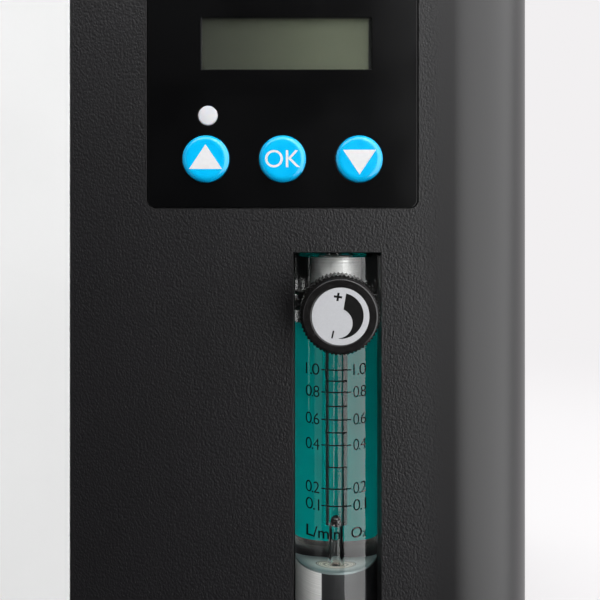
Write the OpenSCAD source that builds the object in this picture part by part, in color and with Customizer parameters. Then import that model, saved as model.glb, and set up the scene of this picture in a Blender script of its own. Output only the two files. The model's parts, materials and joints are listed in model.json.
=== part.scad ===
// Table-top anaesthesia machine for small animals: a two-tone cabinet with a display panel, an oxygen
// flowmeter in a window, and a syringe-fed vaporiser behind a clear door.
// Millimetres, +Z up, the front faces -Y. The origin is below the middle, where the feet stand.

/* [Cabinet] */
// Width of the cabinet
cab_w = 210; // [200:1:260]
// Depth of the cabinet, front face to rear edge
cab_d = 190; // [170:1:240]
// Height of the cabinet above its feet
cab_h = 242; // [238:1:300]
// Wall thickness of both housings
wall = 3; // [2.6:0.1:3.6]
// Width of the dark right housing, seam to side
right_w = 132; // [126:1:150]
// Radius of the dark housing's front upright edge
corner_r = 26; // [8:1:30]
// Radius of the light housing's front upright edge
left_corner_r = 6; // [3:0.5:10]
// Height of a foot
foot_h = 6; // [4:0.5:12]
// Radius of a foot
foot_r = 8; // [6:0.5:10]

/* [Control panel] */
// Width of the panel plate
panel_w = 74.4; // [72:0.2:84]
// Height of the panel plate
panel_h = 74; // [72:0.5:90]
// Thickness of the panel plate
panel_t = 1.5; // [1.2:0.1:2]
// Distance from the cabinet's top to the panel's top
panel_drop = 15.5; // [12:0.5:20]
// Distance from the seam to the panel's middle
panel_from_seam = 58.8; // [48:0.2:64]
// Width of the display window
window_w = 47; // [40:0.5:56]
// Height of the display window
window_h = 14.3; // [12:0.1:20]
// Radius of a key
key_r = 6.4; // [5:0.1:7.5]
// Spacing of the keys
key_pitch = 21.15; // [18:0.05:23]
// How far a key stands out of the panel
key_proud = 1.2; // [0.8:0.1:2]
// How far a key can be pressed
key_travel = 0.6; // [0.3:0.1:0.8]
// Radius of the status lamp
lamp_r = 2.7; // [1.5:0.1:3.5]

/* [Flowmeter] */
// Width of the clear body
body_w = 23.4; // [22:0.2:26]
// Height of the clear body
body_h = 106.8; // [100:0.2:112]
// Depth of the clear body, front to back
body_d = 22; // [21:0.5:26]
// Radius of the body's round front
front_r = 12; // [12:0.1:20]
// How far the body stands out of the cabinet's front
body_proud = 2.5; // [1:0.1:4]
// Distance from the seam to the body's middle
meter_from_seam = 73.9; // [66:0.1:90]
// Radius of the metering tube at its lower end
tube_low_r = 2.15; // [1.75:0.05:2.3]
// Radius of the metering tube at its upper end
tube_high_r = 2.35; // [2.1:0.05:2.5]
// Radius of the float ball
ball_r = 1.5875; // [1.5:0.0125:1.65]
// Radius of the valve knob at its back
knob_r = 10.4; // [8:0.1:12]
// Length of the valve knob
knob_l = 12; // [10:0.5:16]

/* [Syringe drive] */
// Outer radius of the syringe barrel
barrel_r = 9.5; // [8:0.1:10.5]
// Inner radius of the syringe barrel
barrel_bore_r = 7.3; // [6:0.1:7.5]
// Length of the syringe barrel
barrel_l = 80; // [70:1:84]
// Stroke of the plunger
stroke = 58; // [40:1:58]
// Width of the syringe bay
bay_w = 40; // [38:1:44]
// Depth of the syringe bay
bay_d = 44; // [42:1:50]
// Radius of the lead screw
screw_r = 3; // [2.5:0.1:4]
// Radius of a guide rod
rod_r = 2.5; // [2:0.1:3]

/* [Rear] */
// Bore radius of a gas port, for 6 mm tubing
port_bore_r = 3.05; // [2:0.05:4]
// How far a gas port stands out of the cabinet
port_reach = 16; // [12:1:20]

/* [Hidden] */
$fn = 48;
// Gap between pieces that are fixed together
fit = 0.05;
// Gap between a shaft and its bearing
run = 0.06;
// Gap round a piece that moves in an opening
play = 0.3;
// A little more than nothing, to cut cleanly through a face
eps = 0.5;

// Cabinet
knob_gap = 3.5;
knob_reach = body_proud + knob_gap + knob_l;
front_y = knob_reach - (cab_d + knob_reach + port_reach) / 2;
rear_y = front_y + cab_d;
left_x = -cab_w / 2;
right_x = cab_w / 2;
seam_x = right_x - right_w;
base_z = foot_h;
top_z = foot_h + cab_h;
in_y = front_y + wall;
rear_corner_r = 3;
seam_gap = 0.2;
lip_w = 8;
lip_t = 1.5;
plate_t = 2;
rear_inset = 2;
plate_gap = 0.3;
screw_hole_r = 1.7;
boss_r = 4;
boss_l = 12;
boss_in = 3.4;
pilot_r = 1.3;
foot_in = 14;
foot_boss_h = 10;
foot_screw_l = 8;

// Control panel
panel_x = seam_x + panel_from_seam;
panel_top = top_z - panel_drop;
panel_z = panel_top - panel_h;
panel_gap = 0.35;
panel_corner_r = 2.2;
window_x = panel_x + 1.1;
window_z = panel_z + 45.3;
keys_z = panel_z + 13.4;
lamp_x = panel_x - key_pitch + 0.5;
lamp_z = keys_z + 12;
glass_back = 2;
lens_t = 0.8;
key_gap = 0.2;
key_rim_t = 0.8;
key_y = front_y - key_proud;
key_back = wall + 1.4;
module_w = window_w + 9;
module_h = window_h + 17.7;
module_y = in_y + 0.4;
board_t = 1.6;
key_board_y = front_y + key_back + key_travel + 3.2;
board_y = front_y + 38;

// Flowmeter
meter_x = seam_x + meter_from_seam;
slot_gap = 0.5;
slot_top = panel_z - 12.4;
body_top = slot_top - 1.3;
body_z = body_top - body_h;
apex_y = front_y - body_proud;
bore_y = apex_y + front_r - 0.3;
body_back_y = apex_y + body_d;
valve_z = body_top - 14;
plug_r = 4.7;
plug_h = 8;
seat_z = body_top - 75.8;
jet_r = 1.4;
foot_plug_r = 7.6;
foot_plug_z = seat_z - 11.5;
plug_hex_gap = 0.138;
plug_hex_r = (bore_y - in_y - plug_hex_gap) / cos(30);
bonnet_r = 4;
bonnet_in = 7;
spindle_r = 2;
chamber_r = 2.6;
orifice_r = 0.8;
outlet_r = 3.2;
outlet_in = 6;
backing_t = 0.6;
backing_z = body_top - 83.2;
backing_h = 62.9;
bracket_t = 3;
knob_y = apex_y - knob_gap;
knob_face_y = knob_y - knob_l;
knob_front_r = knob_r - 0.9;
disc_r = knob_front_r - 2.2;
disc_t = 0.6;
knurls = 60;
knurl_depth = 0.4;
grip_l = knob_l - 2.5;
spindle_in_knob = 8;

// Syringe bay and drive
bay_x = seam_x - 26 - bay_w / 2;
bay_z = base_z + 34;
bay_h = 180;
tray_t = 2;
flange_w = 6;
door_lap = 2.3;
door_gap = 0.5;
door_t = wall;
door_w = bay_w + 2 * door_lap;
door_h = bay_h + 2 * door_lap;
hinge_x = bay_x - door_w / 2 + door_gap + door_t / 2;
hinge_y = front_y + door_t / 2;
door_pin_r = 0.8;
door_pin_in = 6;
door_pin_set = 3;
syringe_y = front_y + 24;
socket_z = bay_z + tray_t;
barrel_z = socket_z + 16;
barrel_top = barrel_z + barrel_l;
flange_t = 2.5;
tip_r = 2;
rod_of_plunger_r = 3.5;
seal_h = 6;
thumb_r = 10;
thumb_z = barrel_top + flange_t + stroke + 8.5;
claw_h = 9;
clamp_z = barrel_z + 34;
clamp_h = 9;
clamp_t = 4;
clamp_y = syringe_y - barrel_r - 0.4 - clamp_t;
clamp_x = bay_x - 15;
cradle_w = 24;
cradle_gap = 0.15;
drive_y = front_y + bay_d + tray_t + 22;
rod_off = 14;
carriage_h = 12;
carriage_z = thumb_z - 5;
carriage_low = carriage_z - stroke;
top_bracket_z = carriage_z + carriage_h + 5;
bracket_h = 5;
coupling_h = 14;
low_bracket_z = carriage_low - coupling_h - bracket_h - 3;
motor_w = 28;
motor_h = 32;
arm_w = 7;
coupling_r = 7;
bearing_r = 5;

// Vaporiser and gas ports
vap_x = seam_x - 10;
vap_y = rear_y - 58;
vap_z = base_z + plate_t + 10;
vap_w = 54;
vap_d = 38;
vap_h = 34;
lid_h = 6;
tube_r = 3;
tube_bore_r = 2;
bend_r = 9;
port_x = [meter_x + 18, seam_x - 18];
port_z = base_z + 34;
port_r = 7;
port_shank_r = 5;
port_bore_l = 14;
switch_x = meter_x + 20;
switch_z = top_z - 60;
switch_w = 13;
switch_h = 19;
rocker_tilt = 9;
rocker_pin_r = 1;
jack_z = switch_z - 34;
jack_r = 5.5;

// ---- Shapes that repeat ----

// A block between two corners
module block(low, high) {
    translate(low) cube(high - low);
}

// A cylinder from p, l long, along -Y, +Y or +Z
module bar_y(p, r, l) {
    translate(p) rotate([-90, 0, 0]) cylinder(r = r, h = l);
}

module bar_z(p, r, l) {
    translate(p) cylinder(r = r, h = l);
}

// An upright plate outline in X and Z with round corners, t thick, its front at y
module round_plate(x, z, w, h, r, y, t) {
    translate([x, y + t, z]) rotate([90, 0, 0]) linear_extrude(t) {
        translate([-w / 2 + r, 0]) square([w - 2 * r, h]);
        translate([-w / 2, r]) square([w, h - 2 * r]);
        for (i = [-1, 1], j = [0, 1]) {
            translate([i * (w / 2 - r), j == 0 ? r : h - r]) circle(r);
        }
    }
}

// A quarter bend of a tube at corner p, turning from direction a to direction b
module bend(p, a, b, r) {
    c = p - bend_r * a + bend_r * b;
    n = cross(-b, a);
    m = [[-b.x, a.x, n.x, c.x], [-b.y, a.y, n.y, c.y], [-b.z, a.z, n.z, c.z], [0, 0, 0, 1]];
    multmatrix(m) rotate_extrude(angle = 90) translate([bend_r, 0]) circle(r);
}

// A straight length of tube from p to q along one axis
module straight(p, q, r) {
    d = q - p;
    l = norm(d);
    turn = abs(d.x) > eps ? [0, d.x > 0 ? 90 : -90, 0] : abs(d.y) > eps ? [d.y > 0 ? -90 : 90, 0, 0]
        : [d.z > 0 ? 0 : 180, 0, 0];
    if (l > 0.01) translate(p) rotate(turn) cylinder(r = r, h = l);
}

// A tube of radius r through the points, each stretch along one axis, with a bend at each corner
module run_of_tube(points, r, extra = 0) {
    last = len(points) - 1;
    dirs = [for (i = [0:last - 1]) (points[i + 1] - points[i]) / norm(points[i + 1] - points[i])];
    for (i = [0:last - 1]) {
        from = points[i] + dirs[i] * (i == 0 ? -extra : bend_r);
        to = points[i + 1] - dirs[i] * (i == last - 1 ? -extra : bend_r);
        straight(from, to, r);
    }
    for (i = [1:last - 1]) bend(points[i], dirs[i - 1], dirs[i], r);
}

module tube(points) {
    difference() {
        run_of_tube(points, tube_r);
        run_of_tube(points, tube_bore_r, eps);
    }
}

// ---- Cabinet ----

// Plan of the whole cabinet's outside, taken in by d on every side
module plan(d) {
    fr = corner_r - d;
    fl = max(left_corner_r - d, 1);
    rr = max(rear_corner_r - d, 0.5);
    x0 = left_x + d;
    x1 = right_x - d;
    y0 = front_y + d;
    y1 = rear_y - d;
    difference() {
        translate([x0, y0]) square([x1 - x0, y1 - y0]);
        translate([x1 - fr, y0 - eps]) square([fr + eps, fr + eps]);
        translate([x0 - eps, y0 - eps]) square([fl + eps, fl + eps]);
        translate([x1 - rr, y1 - rr]) square([rr + eps, rr + eps]);
        translate([x0 - eps, y1 - rr]) square([rr + eps, rr + eps]);
    }
    translate([x1 - fr, y0 + fr]) circle(fr, $fn = 96);
    translate([x0 + fl, y0 + fl]) circle(fl);
    translate([x1 - rr, y1 - rr]) circle(rr);
    translate([x0 + rr, y1 - rr]) circle(rr);
}

// The hollow shell of the whole cabinet, open below and behind
module shell() {
    difference() {
        translate([0, 0, base_z]) linear_extrude(cab_h) plan(0);
        translate([0, 0, base_z - eps]) linear_extrude(cab_h - wall + eps) plan(wall);
        block([left_x + wall, rear_y - 2 * wall, base_z - eps],
              [right_x - wall, rear_y + eps, top_z - wall]);
    }
}

// Places of the rear panel's screws, as [x, z]
function rear_screws() = [
    for (i = [-1, 1], k = [0, 0.5, 1])
        [i * (cab_w / 2 - wall - boss_in), base_z + 26 + k * (cab_h - wall - 40)]
];

// A screw boss inside a side wall, with its pilot hole
module rear_boss(x, z) {
    y = rear_y - rear_inset - plate_t - boss_l;
    difference() {
        intersection() {
            bar_y([x, y, z], boss_r, boss_l);
            block([left_x + 1, y, z - boss_r], [right_x - 1, y + boss_l, z + boss_r]);
        }
        bar_y([x, y + 2, z], pilot_r, boss_l);
    }
}

// A boss above a foot, joined to the side wall, for the foot's screw
module foot_boss(p) {
    z = base_z + plate_t + plate_gap;
    side = p.x < 0 ? left_x + 1 : right_x - 1;
    difference() {
        union() {
            bar_z([p.x, p.y, z], boss_r, foot_boss_h);
            block([min(p.x, side), p.y - 2, z], [max(p.x, side), p.y + 2, z + foot_boss_h]);
        }
        bar_z([p.x, p.y, z - eps], screw_hole_r, foot_boss_h);
    }
}

module left_housing() {
    color("gainsboro") {
        difference() {
            intersection() {
                shell();
                block([left_x - eps, front_y - eps, 0], [seam_x, rear_y + eps, top_z + eps]);
            }
            block([bay_x - door_w / 2, front_y - eps, bay_z - door_lap],
                  [bay_x + door_w / 2, in_y + eps, bay_z - door_lap + door_h]);
            bar_z([hinge_x, hinge_y, bay_z - door_lap - door_pin_set], door_pin_r + fit,
                  door_h + 2 * door_pin_set);
        }
        // Lip behind the front wall that laps the seam
        block([seam_x - lip_w, in_y, base_z + plate_t + plate_gap],
              [seam_x + lip_w, in_y + lip_t, top_z - wall]);
        for (s = rear_screws()) if (s.x < 0) rear_boss(s.x, s.y);
        for (p = foot_places()) if (p.x < 0) foot_boss(p);
    }
}

module right_housing() {
    color([0.13, 0.13, 0.14]) {
        difference() {
            intersection() {
                shell();
                block([seam_x + seam_gap, front_y - eps, 0], [right_x + eps, rear_y + eps, top_z + eps]);
            }
            // Pocket for the panel plate
            round_plate(panel_x, panel_z - panel_gap, panel_w + 2 * panel_gap,
                        panel_h + 2 * panel_gap, panel_corner_r + panel_gap,
                        front_y - eps, panel_t + eps);
            // Display, lamp and keys behind the plate
            block([window_x - window_w / 2 - 1, front_y, window_z - window_h / 2 - 1],
                  [window_x + window_w / 2 + 1, in_y + eps, window_z + window_h / 2 + 1]);
            bar_y([lamp_x, front_y, lamp_z], lamp_r + play, wall + eps);
            for (i = [-1:1]) {
                bar_y([panel_x + i * key_pitch, front_y, keys_z], key_r + key_rim_t + play, wall + eps);
            }
            // Window for the flowmeter
            block([meter_x - body_w / 2 - slot_gap, front_y - eps, body_z - 3.4],
                  [meter_x + body_w / 2 + slot_gap, in_y + eps, slot_top]);
        }
        for (s = rear_screws()) if (s.x > 0) rear_boss(s.x, s.y);
        for (p = foot_places()) if (p.x > 0) foot_boss(p);
    }
}

module rear_panel() {
    y = rear_y - rear_inset - plate_t;
    w = cab_w - 2 * wall - 2 * plate_gap;
    h = cab_h - wall - 2 * plate_gap;
    color("darkgray") difference() {
        block([-w / 2, y, base_z + plate_gap], [w / 2, y + plate_t, base_z + plate_gap + h]);
        for (s = rear_screws()) bar_y([s.x, y - eps, s.y], screw_hole_r, plate_t + 2 * eps);
        for (x = port_x) bar_y([x, y - eps, port_z], port_shank_r + fit, plate_t + 2 * eps);
        block([switch_x - switch_w / 2, y - eps, switch_z - switch_h / 2],
              [switch_x + switch_w / 2, y + plate_t + eps, switch_z + switch_h / 2]);
        bar_y([switch_x, y - eps, jack_z], jack_r + fit, plate_t + 2 * eps);
        // Vents
        for (i = [0:7]) {
            block([seam_x - 46 + i * 7, y - eps, top_z - 84],
                [seam_x - 43 + i * 7, y + plate_t + eps, top_z - 44]);
        }
    }
}

// Places of the feet, as [x, y]
function foot_places() = [
    for (i = [-1, 1], j = [0, 1]) [i * (cab_w / 2 - foot_in), j == 0 ? front_y + 30 : rear_y - 24]
];

module base_plate() {
    g = wall + plate_gap;
    color("silver") difference() {
        union() {
            translate([0, 0, base_z]) linear_extrude(plate_t) plan(g);
            // Rear flange that the rear panel stands against
            block([-cab_w / 2 + g + 2 * boss_r, rear_y - rear_inset - 2 * plate_t - plate_gap, base_z],
                  [cab_w / 2 - g - 2 * boss_r, rear_y - rear_inset - plate_t - plate_gap, base_z + 12]);
        }
        translate([left_x, rear_y - rear_inset - plate_t - plate_gap, base_z - eps])
            cube([cab_w, 2 * rear_inset + 2 * plate_t, 20]);
        for (p = foot_places()) bar_z([p.x, p.y, base_z - eps], screw_hole_r, plate_t + 2 * eps);
    }
}

module feet() {
    color([0.1, 0.1, 0.1]) for (p = foot_places()) difference() {
        translate([p.x, p.y, 0]) cylinder(r1 = foot_r - 1, r2 = foot_r, h = foot_h);
        bar_z([p.x, p.y, -eps], 3.6, 2.5 + eps);
        bar_z([p.x, p.y, -eps], screw_hole_r, foot_h + 2 * eps);
    }
}

module foot_screws() {
    color("silver") for (p = foot_places()) {
        bar_z([p.x, p.y, 0.5], 3, 2);
        bar_z([p.x, p.y, 2.5], screw_hole_r - fit, foot_h + plate_t - 2.5 + foot_screw_l);
    }
}

module panel_screws() {
    y = rear_y - rear_inset;
    color("silver") for (s = rear_screws()) difference() {
        union() {
            bar_y([s.x, y, s.y], 2.7, 1.6);
            bar_y([s.x, y - plate_t - 8, s.y], pilot_r - fit, plate_t + 8);
        }
        translate([s.x, y + 0.6, s.y]) rotate([-90, 0, 0]) cylinder(r = 1.2, h = 2, $fn = 6);
    }
}

// ---- Control panel ----

module control_panel() {
    color([0.05, 0.05, 0.05]) difference() {
        round_plate(panel_x, panel_z, panel_w, panel_h, panel_corner_r, front_y + 0.1, panel_t - 0.1);
        block([window_x - window_w / 2, front_y - eps, window_z - window_h / 2],
              [window_x + window_w / 2, front_y + panel_t + eps, window_z + window_h / 2]);
        bar_y([lamp_x, front_y - eps, lamp_z], lamp_r + fit, panel_t + 2 * eps);
        for (i = [-1:1]) {
            bar_y([panel_x + i * key_pitch, front_y - eps, keys_z], key_r + key_gap, panel_t + 2 * eps);
        }
    }
}

module lcd_window() {
    color([0.8, 0.85, 0.85, 0.3]) block(
        [window_x - window_w / 2 + fit, front_y + 0.5, window_z - window_h / 2 + fit],
        [window_x + window_w / 2 - fit, front_y + 0.5 + lens_t, window_z + window_h / 2 - fit]);
}

// Frame and board of the display, behind the housing's wall
module lcd_module() {
    w = module_w / 2;
    h = module_h / 2;
    color([0.1, 0.12, 0.1]) {
        difference() {
            union() {
                block([window_x - window_w / 2 - 4, module_y, window_z - window_h / 2 - 4],
                      [window_x + window_w / 2 + 4, module_y + 5, window_z + window_h / 2 + 4]);
                block([window_x - window_w / 2 - 1 + fit, front_y + glass_back,
                    window_z - window_h / 2 - 1 + fit],
                      [window_x + window_w / 2 + 1 - fit, module_y + eps,
                          window_z + window_h / 2 + 1 - fit]);
            }
            block([window_x - window_w / 2, front_y, window_z - window_h / 2],
                  [window_x + window_w / 2 - 0.7, module_y + 3, window_z + window_h / 2]);
        }
        block([window_x - w, module_y + 5, window_z - h],
            [window_x + w, module_y + 5 + board_t, window_z + h]);
    }
}

module lcd_glass() {
    color([0.35, 0.38, 0.3]) block(
        [window_x - window_w / 2 + fit, front_y + glass_back, window_z - window_h / 2 + fit],
        [window_x + window_w / 2 - 0.7 - fit, module_y + 3 - fit, window_z + window_h / 2 - fit]);
}

module status_lamp() {
    color("white") {
        bar_y([lamp_x, front_y + 0.1, lamp_z], lamp_r, key_board_y - front_y - 0.1);
    }
}

// A key: a round cap with a rim that the plate keeps in, and a stem to its switch
module key(i) {
    x = panel_x + i * key_pitch;
    color([0.05, 0.6, 0.9]) {
        translate([x, key_y, keys_z]) rotate([-90, 0, 0]) cylinder(r1 = key_r - 0.7, r2 = key_r, h = 0.7);
        bar_y([x, key_y + 0.7, keys_z], key_r, key_proud + panel_t - 0.7 + fit);
        bar_y([x, front_y + panel_t + fit, keys_z], key_r + key_rim_t, key_back - panel_t - 0.8);
        bar_y([x, front_y + key_back - 0.8, keys_z], 1.8, 0.8 + key_travel);
    }
}

module key_board() {
    y = key_board_y;
    color([0.1, 0.35, 0.2]) {
        block([panel_x - 30, y, keys_z - 9], [panel_x + 30, y + board_t, keys_z + 15]);
    }
    color([0.15, 0.15, 0.15]) for (i = [-1:1]) {
        x = panel_x + i * key_pitch;
        block([x - 3, y - 3.2 + key_travel + fit, keys_z - 3], [x + 3, y, keys_z + 3]);
    }
}

module control_board() {
    x0 = panel_x - 50;
    y = board_y;
    z0 = panel_z - 2;
    color([0.1, 0.35, 0.2]) difference() {
        block([x0, y, z0], [x0 + 100, y + board_t, z0 + 76]);
        for (i = [5, 95], k = [5, 71]) bar_y([x0 + i, y - eps, z0 + k], 1.6, board_t + 2 * eps);
    }
    // Processor, driver, relay, connectors and capacitors
    color([0.1, 0.1, 0.1]) {
        block([x0 + 30, y + board_t, z0 + 34], [x0 + 44, y + board_t + 1.5, z0 + 48]);
        block([x0 + 60, y + board_t, z0 + 40], [x0 + 70, y + board_t + 1.2, z0 + 56]);
        block([x0 + 76, y + board_t, z0 + 10], [x0 + 92, y + board_t + 14, z0 + 22]);
    }
    color("ivory") for (k = [0:3]) {
        block([x0 + 12 + k * 16, y + board_t, z0 + 4], [x0 + 22 + k * 16, y + board_t + 9, z0 + 10]);
    }
    color("navy") for (k = [0:2]) bar_y([x0 + 16 + k * 12, y + board_t, z0 + 24], 4, 12);
    // Posts that carry the board on the front wall
    color("silver") for (i = [5, 95], k = [5, 71]) {
        bar_y([x0 + i, in_y + fit, z0 + k], 2.8, board_y - in_y - 2 * fit);
    }
}

// Flat cable from the display to the control board
module ribbon_cable() {
    y0 = module_y + 5 + board_t + fit;
    y1 = board_y - fit;
    x = window_x - 10;
    z = window_z - module_h / 2 + 5;
    m = (y0 + y1) / 2;
    color("lightgray") translate([x, 0, 0]) rotate([90, 0, 90]) linear_extrude(16) polygon([
        [y0, z], [m, z + 14], [y1, z], [y1, z + 0.9], [m, z + 14.9], [y0, z + 0.9]
    ]);
}

// ---- Flowmeter ----

// Plan of the clear body: a round front on a square back
module body_plan() {
    intersection() {
        union() {
            translate([meter_x, apex_y + front_r]) circle(front_r, $fn = 96);
            translate([meter_x - body_w / 2, apex_y + front_r - 2]) square([body_w, body_d - front_r + 2]);
        }
        translate([meter_x - body_w / 2, apex_y - eps]) square([body_w, body_d + eps]);
    }
}

module flowmeter_body() {
    color([0.85, 0.95, 0.95, 0.3]) difference() {
        translate([0, 0, body_z]) linear_extrude(body_h) body_plan();
        // Bore for the top plug, and the tapered metering tube up to it
        bar_z([meter_x, bore_y, body_top - plug_h], plug_r, plug_h + eps);
        translate([meter_x, bore_y, seat_z])
            cylinder(r1 = tube_low_r, r2 = tube_high_r, h = body_top - plug_h - seat_z + fit);
        // Jet below the float's seat, and the bore for the bottom plug
        bar_z([meter_x, bore_y, foot_plug_z - eps], jet_r, seat_z - foot_plug_z + 2 * eps);
        bar_z([meter_x, bore_y, body_z - eps], foot_plug_r, foot_plug_z - body_z + eps);
        // Valve bore from the front, its chamber, orifice and outlet
        bar_y([meter_x, apex_y - eps, valve_z], bonnet_r, bonnet_in + eps);
        bar_y([meter_x, apex_y, valve_z], chamber_r, bore_y - apex_y + 3);
        bar_y([meter_x, bore_y, valve_z], orifice_r, body_back_y - bore_y);
        bar_y([meter_x, body_back_y - outlet_in, valve_z], outlet_r, outlet_in + eps);
    }
}

module scale_backing() {
    color([0, 0.5, 0.47]) block([meter_x - body_w / 2 + 0.2, body_back_y + fit, backing_z],
        [meter_x + body_w / 2 - 0.2, body_back_y + backing_t, backing_z + backing_h]);
}

module top_plug() {
    z = body_top - plug_h + 0.6;
    color("silver") difference() {
        bar_z([meter_x, bore_y, z], plug_r - fit, plug_h - 0.6);
        translate([meter_x, bore_y, z + 3]) groove(plug_r);
        translate([meter_x, bore_y, body_top - 2]) cylinder(r = 2, h = 2 + eps, $fn = 6);
    }
}

// Ring cut for a seal round a plug of radius r
module groove(r) {
    difference() {
        cylinder(r = r + eps, h = 1.8);
        translate([0, 0, -eps]) cylinder(r = r - 1.2, h = 1.8 + 2 * eps);
    }
}

module seal_ring(r) {
    rotate_extrude() translate([r - 0.6, 0.9]) circle(0.57);
}

module bottom_plug() {
    low = body_z - 14;
    color("silver") difference() {
        union() {
            bar_z([meter_x, bore_y, low], 5, 14 + eps);
            translate([meter_x, bore_y, body_z - 6]) cylinder(r = plug_hex_r, h = 6 - fit, $fn = 6);
            bar_z([meter_x, bore_y, body_z - 1], 5.9, 1 - fit);
            bar_z([meter_x, bore_y, body_z - fit], foot_plug_r - fit, foot_plug_z - body_z);
        }
        bar_z([meter_x, bore_y, low - eps], 2, foot_plug_z - low + 2 * eps);
        translate([meter_x, bore_y, foot_plug_z - 6]) groove(foot_plug_r);
    }
}

module plug_seals() {
    color([0.1, 0.1, 0.1]) {
        translate([meter_x, bore_y, body_top - plug_h + 3.6]) seal_ring(plug_r);
        translate([meter_x, bore_y, foot_plug_z - 6]) seal_ring(foot_plug_r);
    }
}

module float_ball() {
    color("dimgray") translate([meter_x, bore_y, ball_z]) sphere(ball_r);
}

// The ball rests in the mouth of the jet
ball_z = seat_z + sqrt(pow(ball_r, 2) - pow(jet_r, 2)) + 0.02;

module valve_bonnet() {
    color([0.75, 0.6, 0.3]) difference() {
        union() {
            bar_y([meter_x, apex_y, valve_z], bonnet_r - fit, bonnet_in - fit);
            translate([meter_x, apex_y - 2, valve_z]) rotate([-90, 0, 0]) cylinder(r = 5, h = 1.5, $fn = 6);
            bar_y([meter_x, apex_y - 1, valve_z], bonnet_r - fit, 1.2);
        }
        bar_y([meter_x, apex_y - 3, valve_z], spindle_r + run, bonnet_in + 4);
    }
}

// Needle and stem. Its tip stands in the orifice when the valve is closed
module valve_spindle() {
    tip_y = bore_y + 3 - 0.1;
    color("silver") {
        bar_y([meter_x, knob_y - spindle_in_knob + 1, valve_z], spindle_r,
            tip_y - 3 - knob_y + spindle_in_knob - 1);
        translate([meter_x, tip_y - 3, valve_z]) rotate([-90, 0, 0])
            cylinder(r1 = spindle_r, r2 = 0.4, h = 3);
    }
}

// Knurled grip with a smooth ring in front, bored for the spindle and recessed for the disc
module valve_knob() {
    color([0.08, 0.08, 0.08]) translate([meter_x, knob_y, valve_z]) rotate([90, 0, 0]) difference() {
        union() {
            linear_extrude(grip_l) polygon([
                for (i = [0:2 * knurls - 1])
                    (knob_r - (i % 2) * knurl_depth) * [cos(i * 180 / knurls), sin(i * 180 / knurls)]
            ]);
            translate([0, 0, grip_l]) cylinder(r1 = knob_r - knurl_depth - 0.1, r2 = knob_front_r,
                h = knob_l - grip_l);
        }
        translate([0, 0, -eps]) cylinder(r = spindle_r + run, h = spindle_in_knob + eps);
        translate([0, 0, knob_l - disc_t - fit]) cylinder(r = disc_r + fit, h = disc_t + eps);
    }
}

module knob_disc() {
    color("lightgray") bar_y([meter_x, knob_face_y, valve_z], disc_r, disc_t);
}

// Elbow below the bottom plug, and elbow behind the outlet
module meter_elbows() {
    low = body_z - 14;
    color([0.12, 0.12, 0.12]) {
        difference() {
            union() {
                bar_z([meter_x, bore_y, low - 7], 5, 7 - fit);
                bar_y([meter_x, bore_y, low - 3.5], 3.4, 14);
            }
            bar_z([meter_x, bore_y, low - 3.5], tube_bore_r, 4);
            bar_y([meter_x, bore_y, low - 3.5], tube_bore_r, 15);
        }
        difference() {
            bar_y([meter_x, body_back_y - outlet_in + fit, valve_z], outlet_r - fit, outlet_in + 12);
            bar_y([meter_x, body_back_y - outlet_in, valve_z], tube_bore_r, outlet_in + 13);
        }
    }
}

// Black channel that holds the body against the window from behind
module flowmeter_bracket() {
    x = body_w / 2 + slot_gap;
    y = body_back_y + backing_t + fit;
    color([0.06, 0.06, 0.06]) difference() {
        union() {
            block([meter_x - x - 2, y, body_z], [meter_x + x + 2, y + bracket_t, body_top]);
            for (i = [-1, 1]) {
                block([meter_x + i * (x + 1) - 1, in_y + fit, body_z],
                    [meter_x + i * (x + 1) + 1, y + eps, body_top]);
                block([meter_x + i * (x + 6) - 6, in_y + fit, body_z],
                    [meter_x + i * (x + 6) + 6, in_y + 2, body_top]);
            }
        }
        bar_y([meter_x, y - eps, valve_z], outlet_r + 0.4, bracket_t + 2 * eps);
    }
}

// ---- Syringe bay ----

module bay_tray() {
    x = bay_w / 2;
    back = front_y + bay_d;
    color([0.2, 0.2, 0.21]) difference() {
        union() {
            block([bay_x - x - tray_t, in_y + fit, bay_z - tray_t],
                [bay_x + x + tray_t, back + tray_t, bay_z + bay_h + tray_t]);
            block([bay_x - x - flange_w, in_y + fit, bay_z - flange_w],
                  [bay_x + x + flange_w, in_y + tray_t, bay_z + bay_h + flange_w]);
        }
        block([bay_x - x, front_y, bay_z], [bay_x + x, back, bay_z + bay_h]);
        // Slot for the carriage's arm
        block([bay_x - arm_w / 2 - play, back - eps, carriage_low - 2],
              [bay_x + arm_w / 2 + play, back + tray_t + eps, carriage_z + carriage_h + 2]);
        bar_z([bay_x, syringe_y, bay_z - tray_t - eps], 5 + fit, tray_t + 2 * eps);
    }
}

module bay_door() {
    color([0.7, 0.75, 0.8, 0.35]) difference() {
        union() {
            bar_z([hinge_x, hinge_y, bay_z - door_lap + door_gap], door_t / 2, door_h - 2 * door_gap);
            block([hinge_x, front_y, bay_z - door_lap + door_gap],
                  [bay_x + door_w / 2 - door_gap, front_y + door_t, bay_z - door_lap + door_h - door_gap]);
        }
        for (z = [bay_z - door_lap, bay_z - door_lap + door_h - door_pin_in]) {
            bar_z([hinge_x, hinge_y, z], door_pin_r + run, door_pin_in);
        }
        bar_y([bay_x + door_w / 2 - 8, front_y - eps, bay_z + bay_h / 2], 1.5 + fit, door_t + 2 * eps);
    }
}

module door_pull() {
    color([0.12, 0.12, 0.12]) translate([bay_x + door_w / 2 - 8, front_y, bay_z + bay_h / 2]) {
        rotate([90, 0, 0]) rotate_extrude() polygon([
            [0, 0], [4.2, 0], [3.2, 3], [4.6, 6.5], [4.2, 7.5], [0, 8]
        ]);
        rotate([-90, 0, 0]) cylinder(r = 1.5, h = door_t);
    }
}

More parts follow.
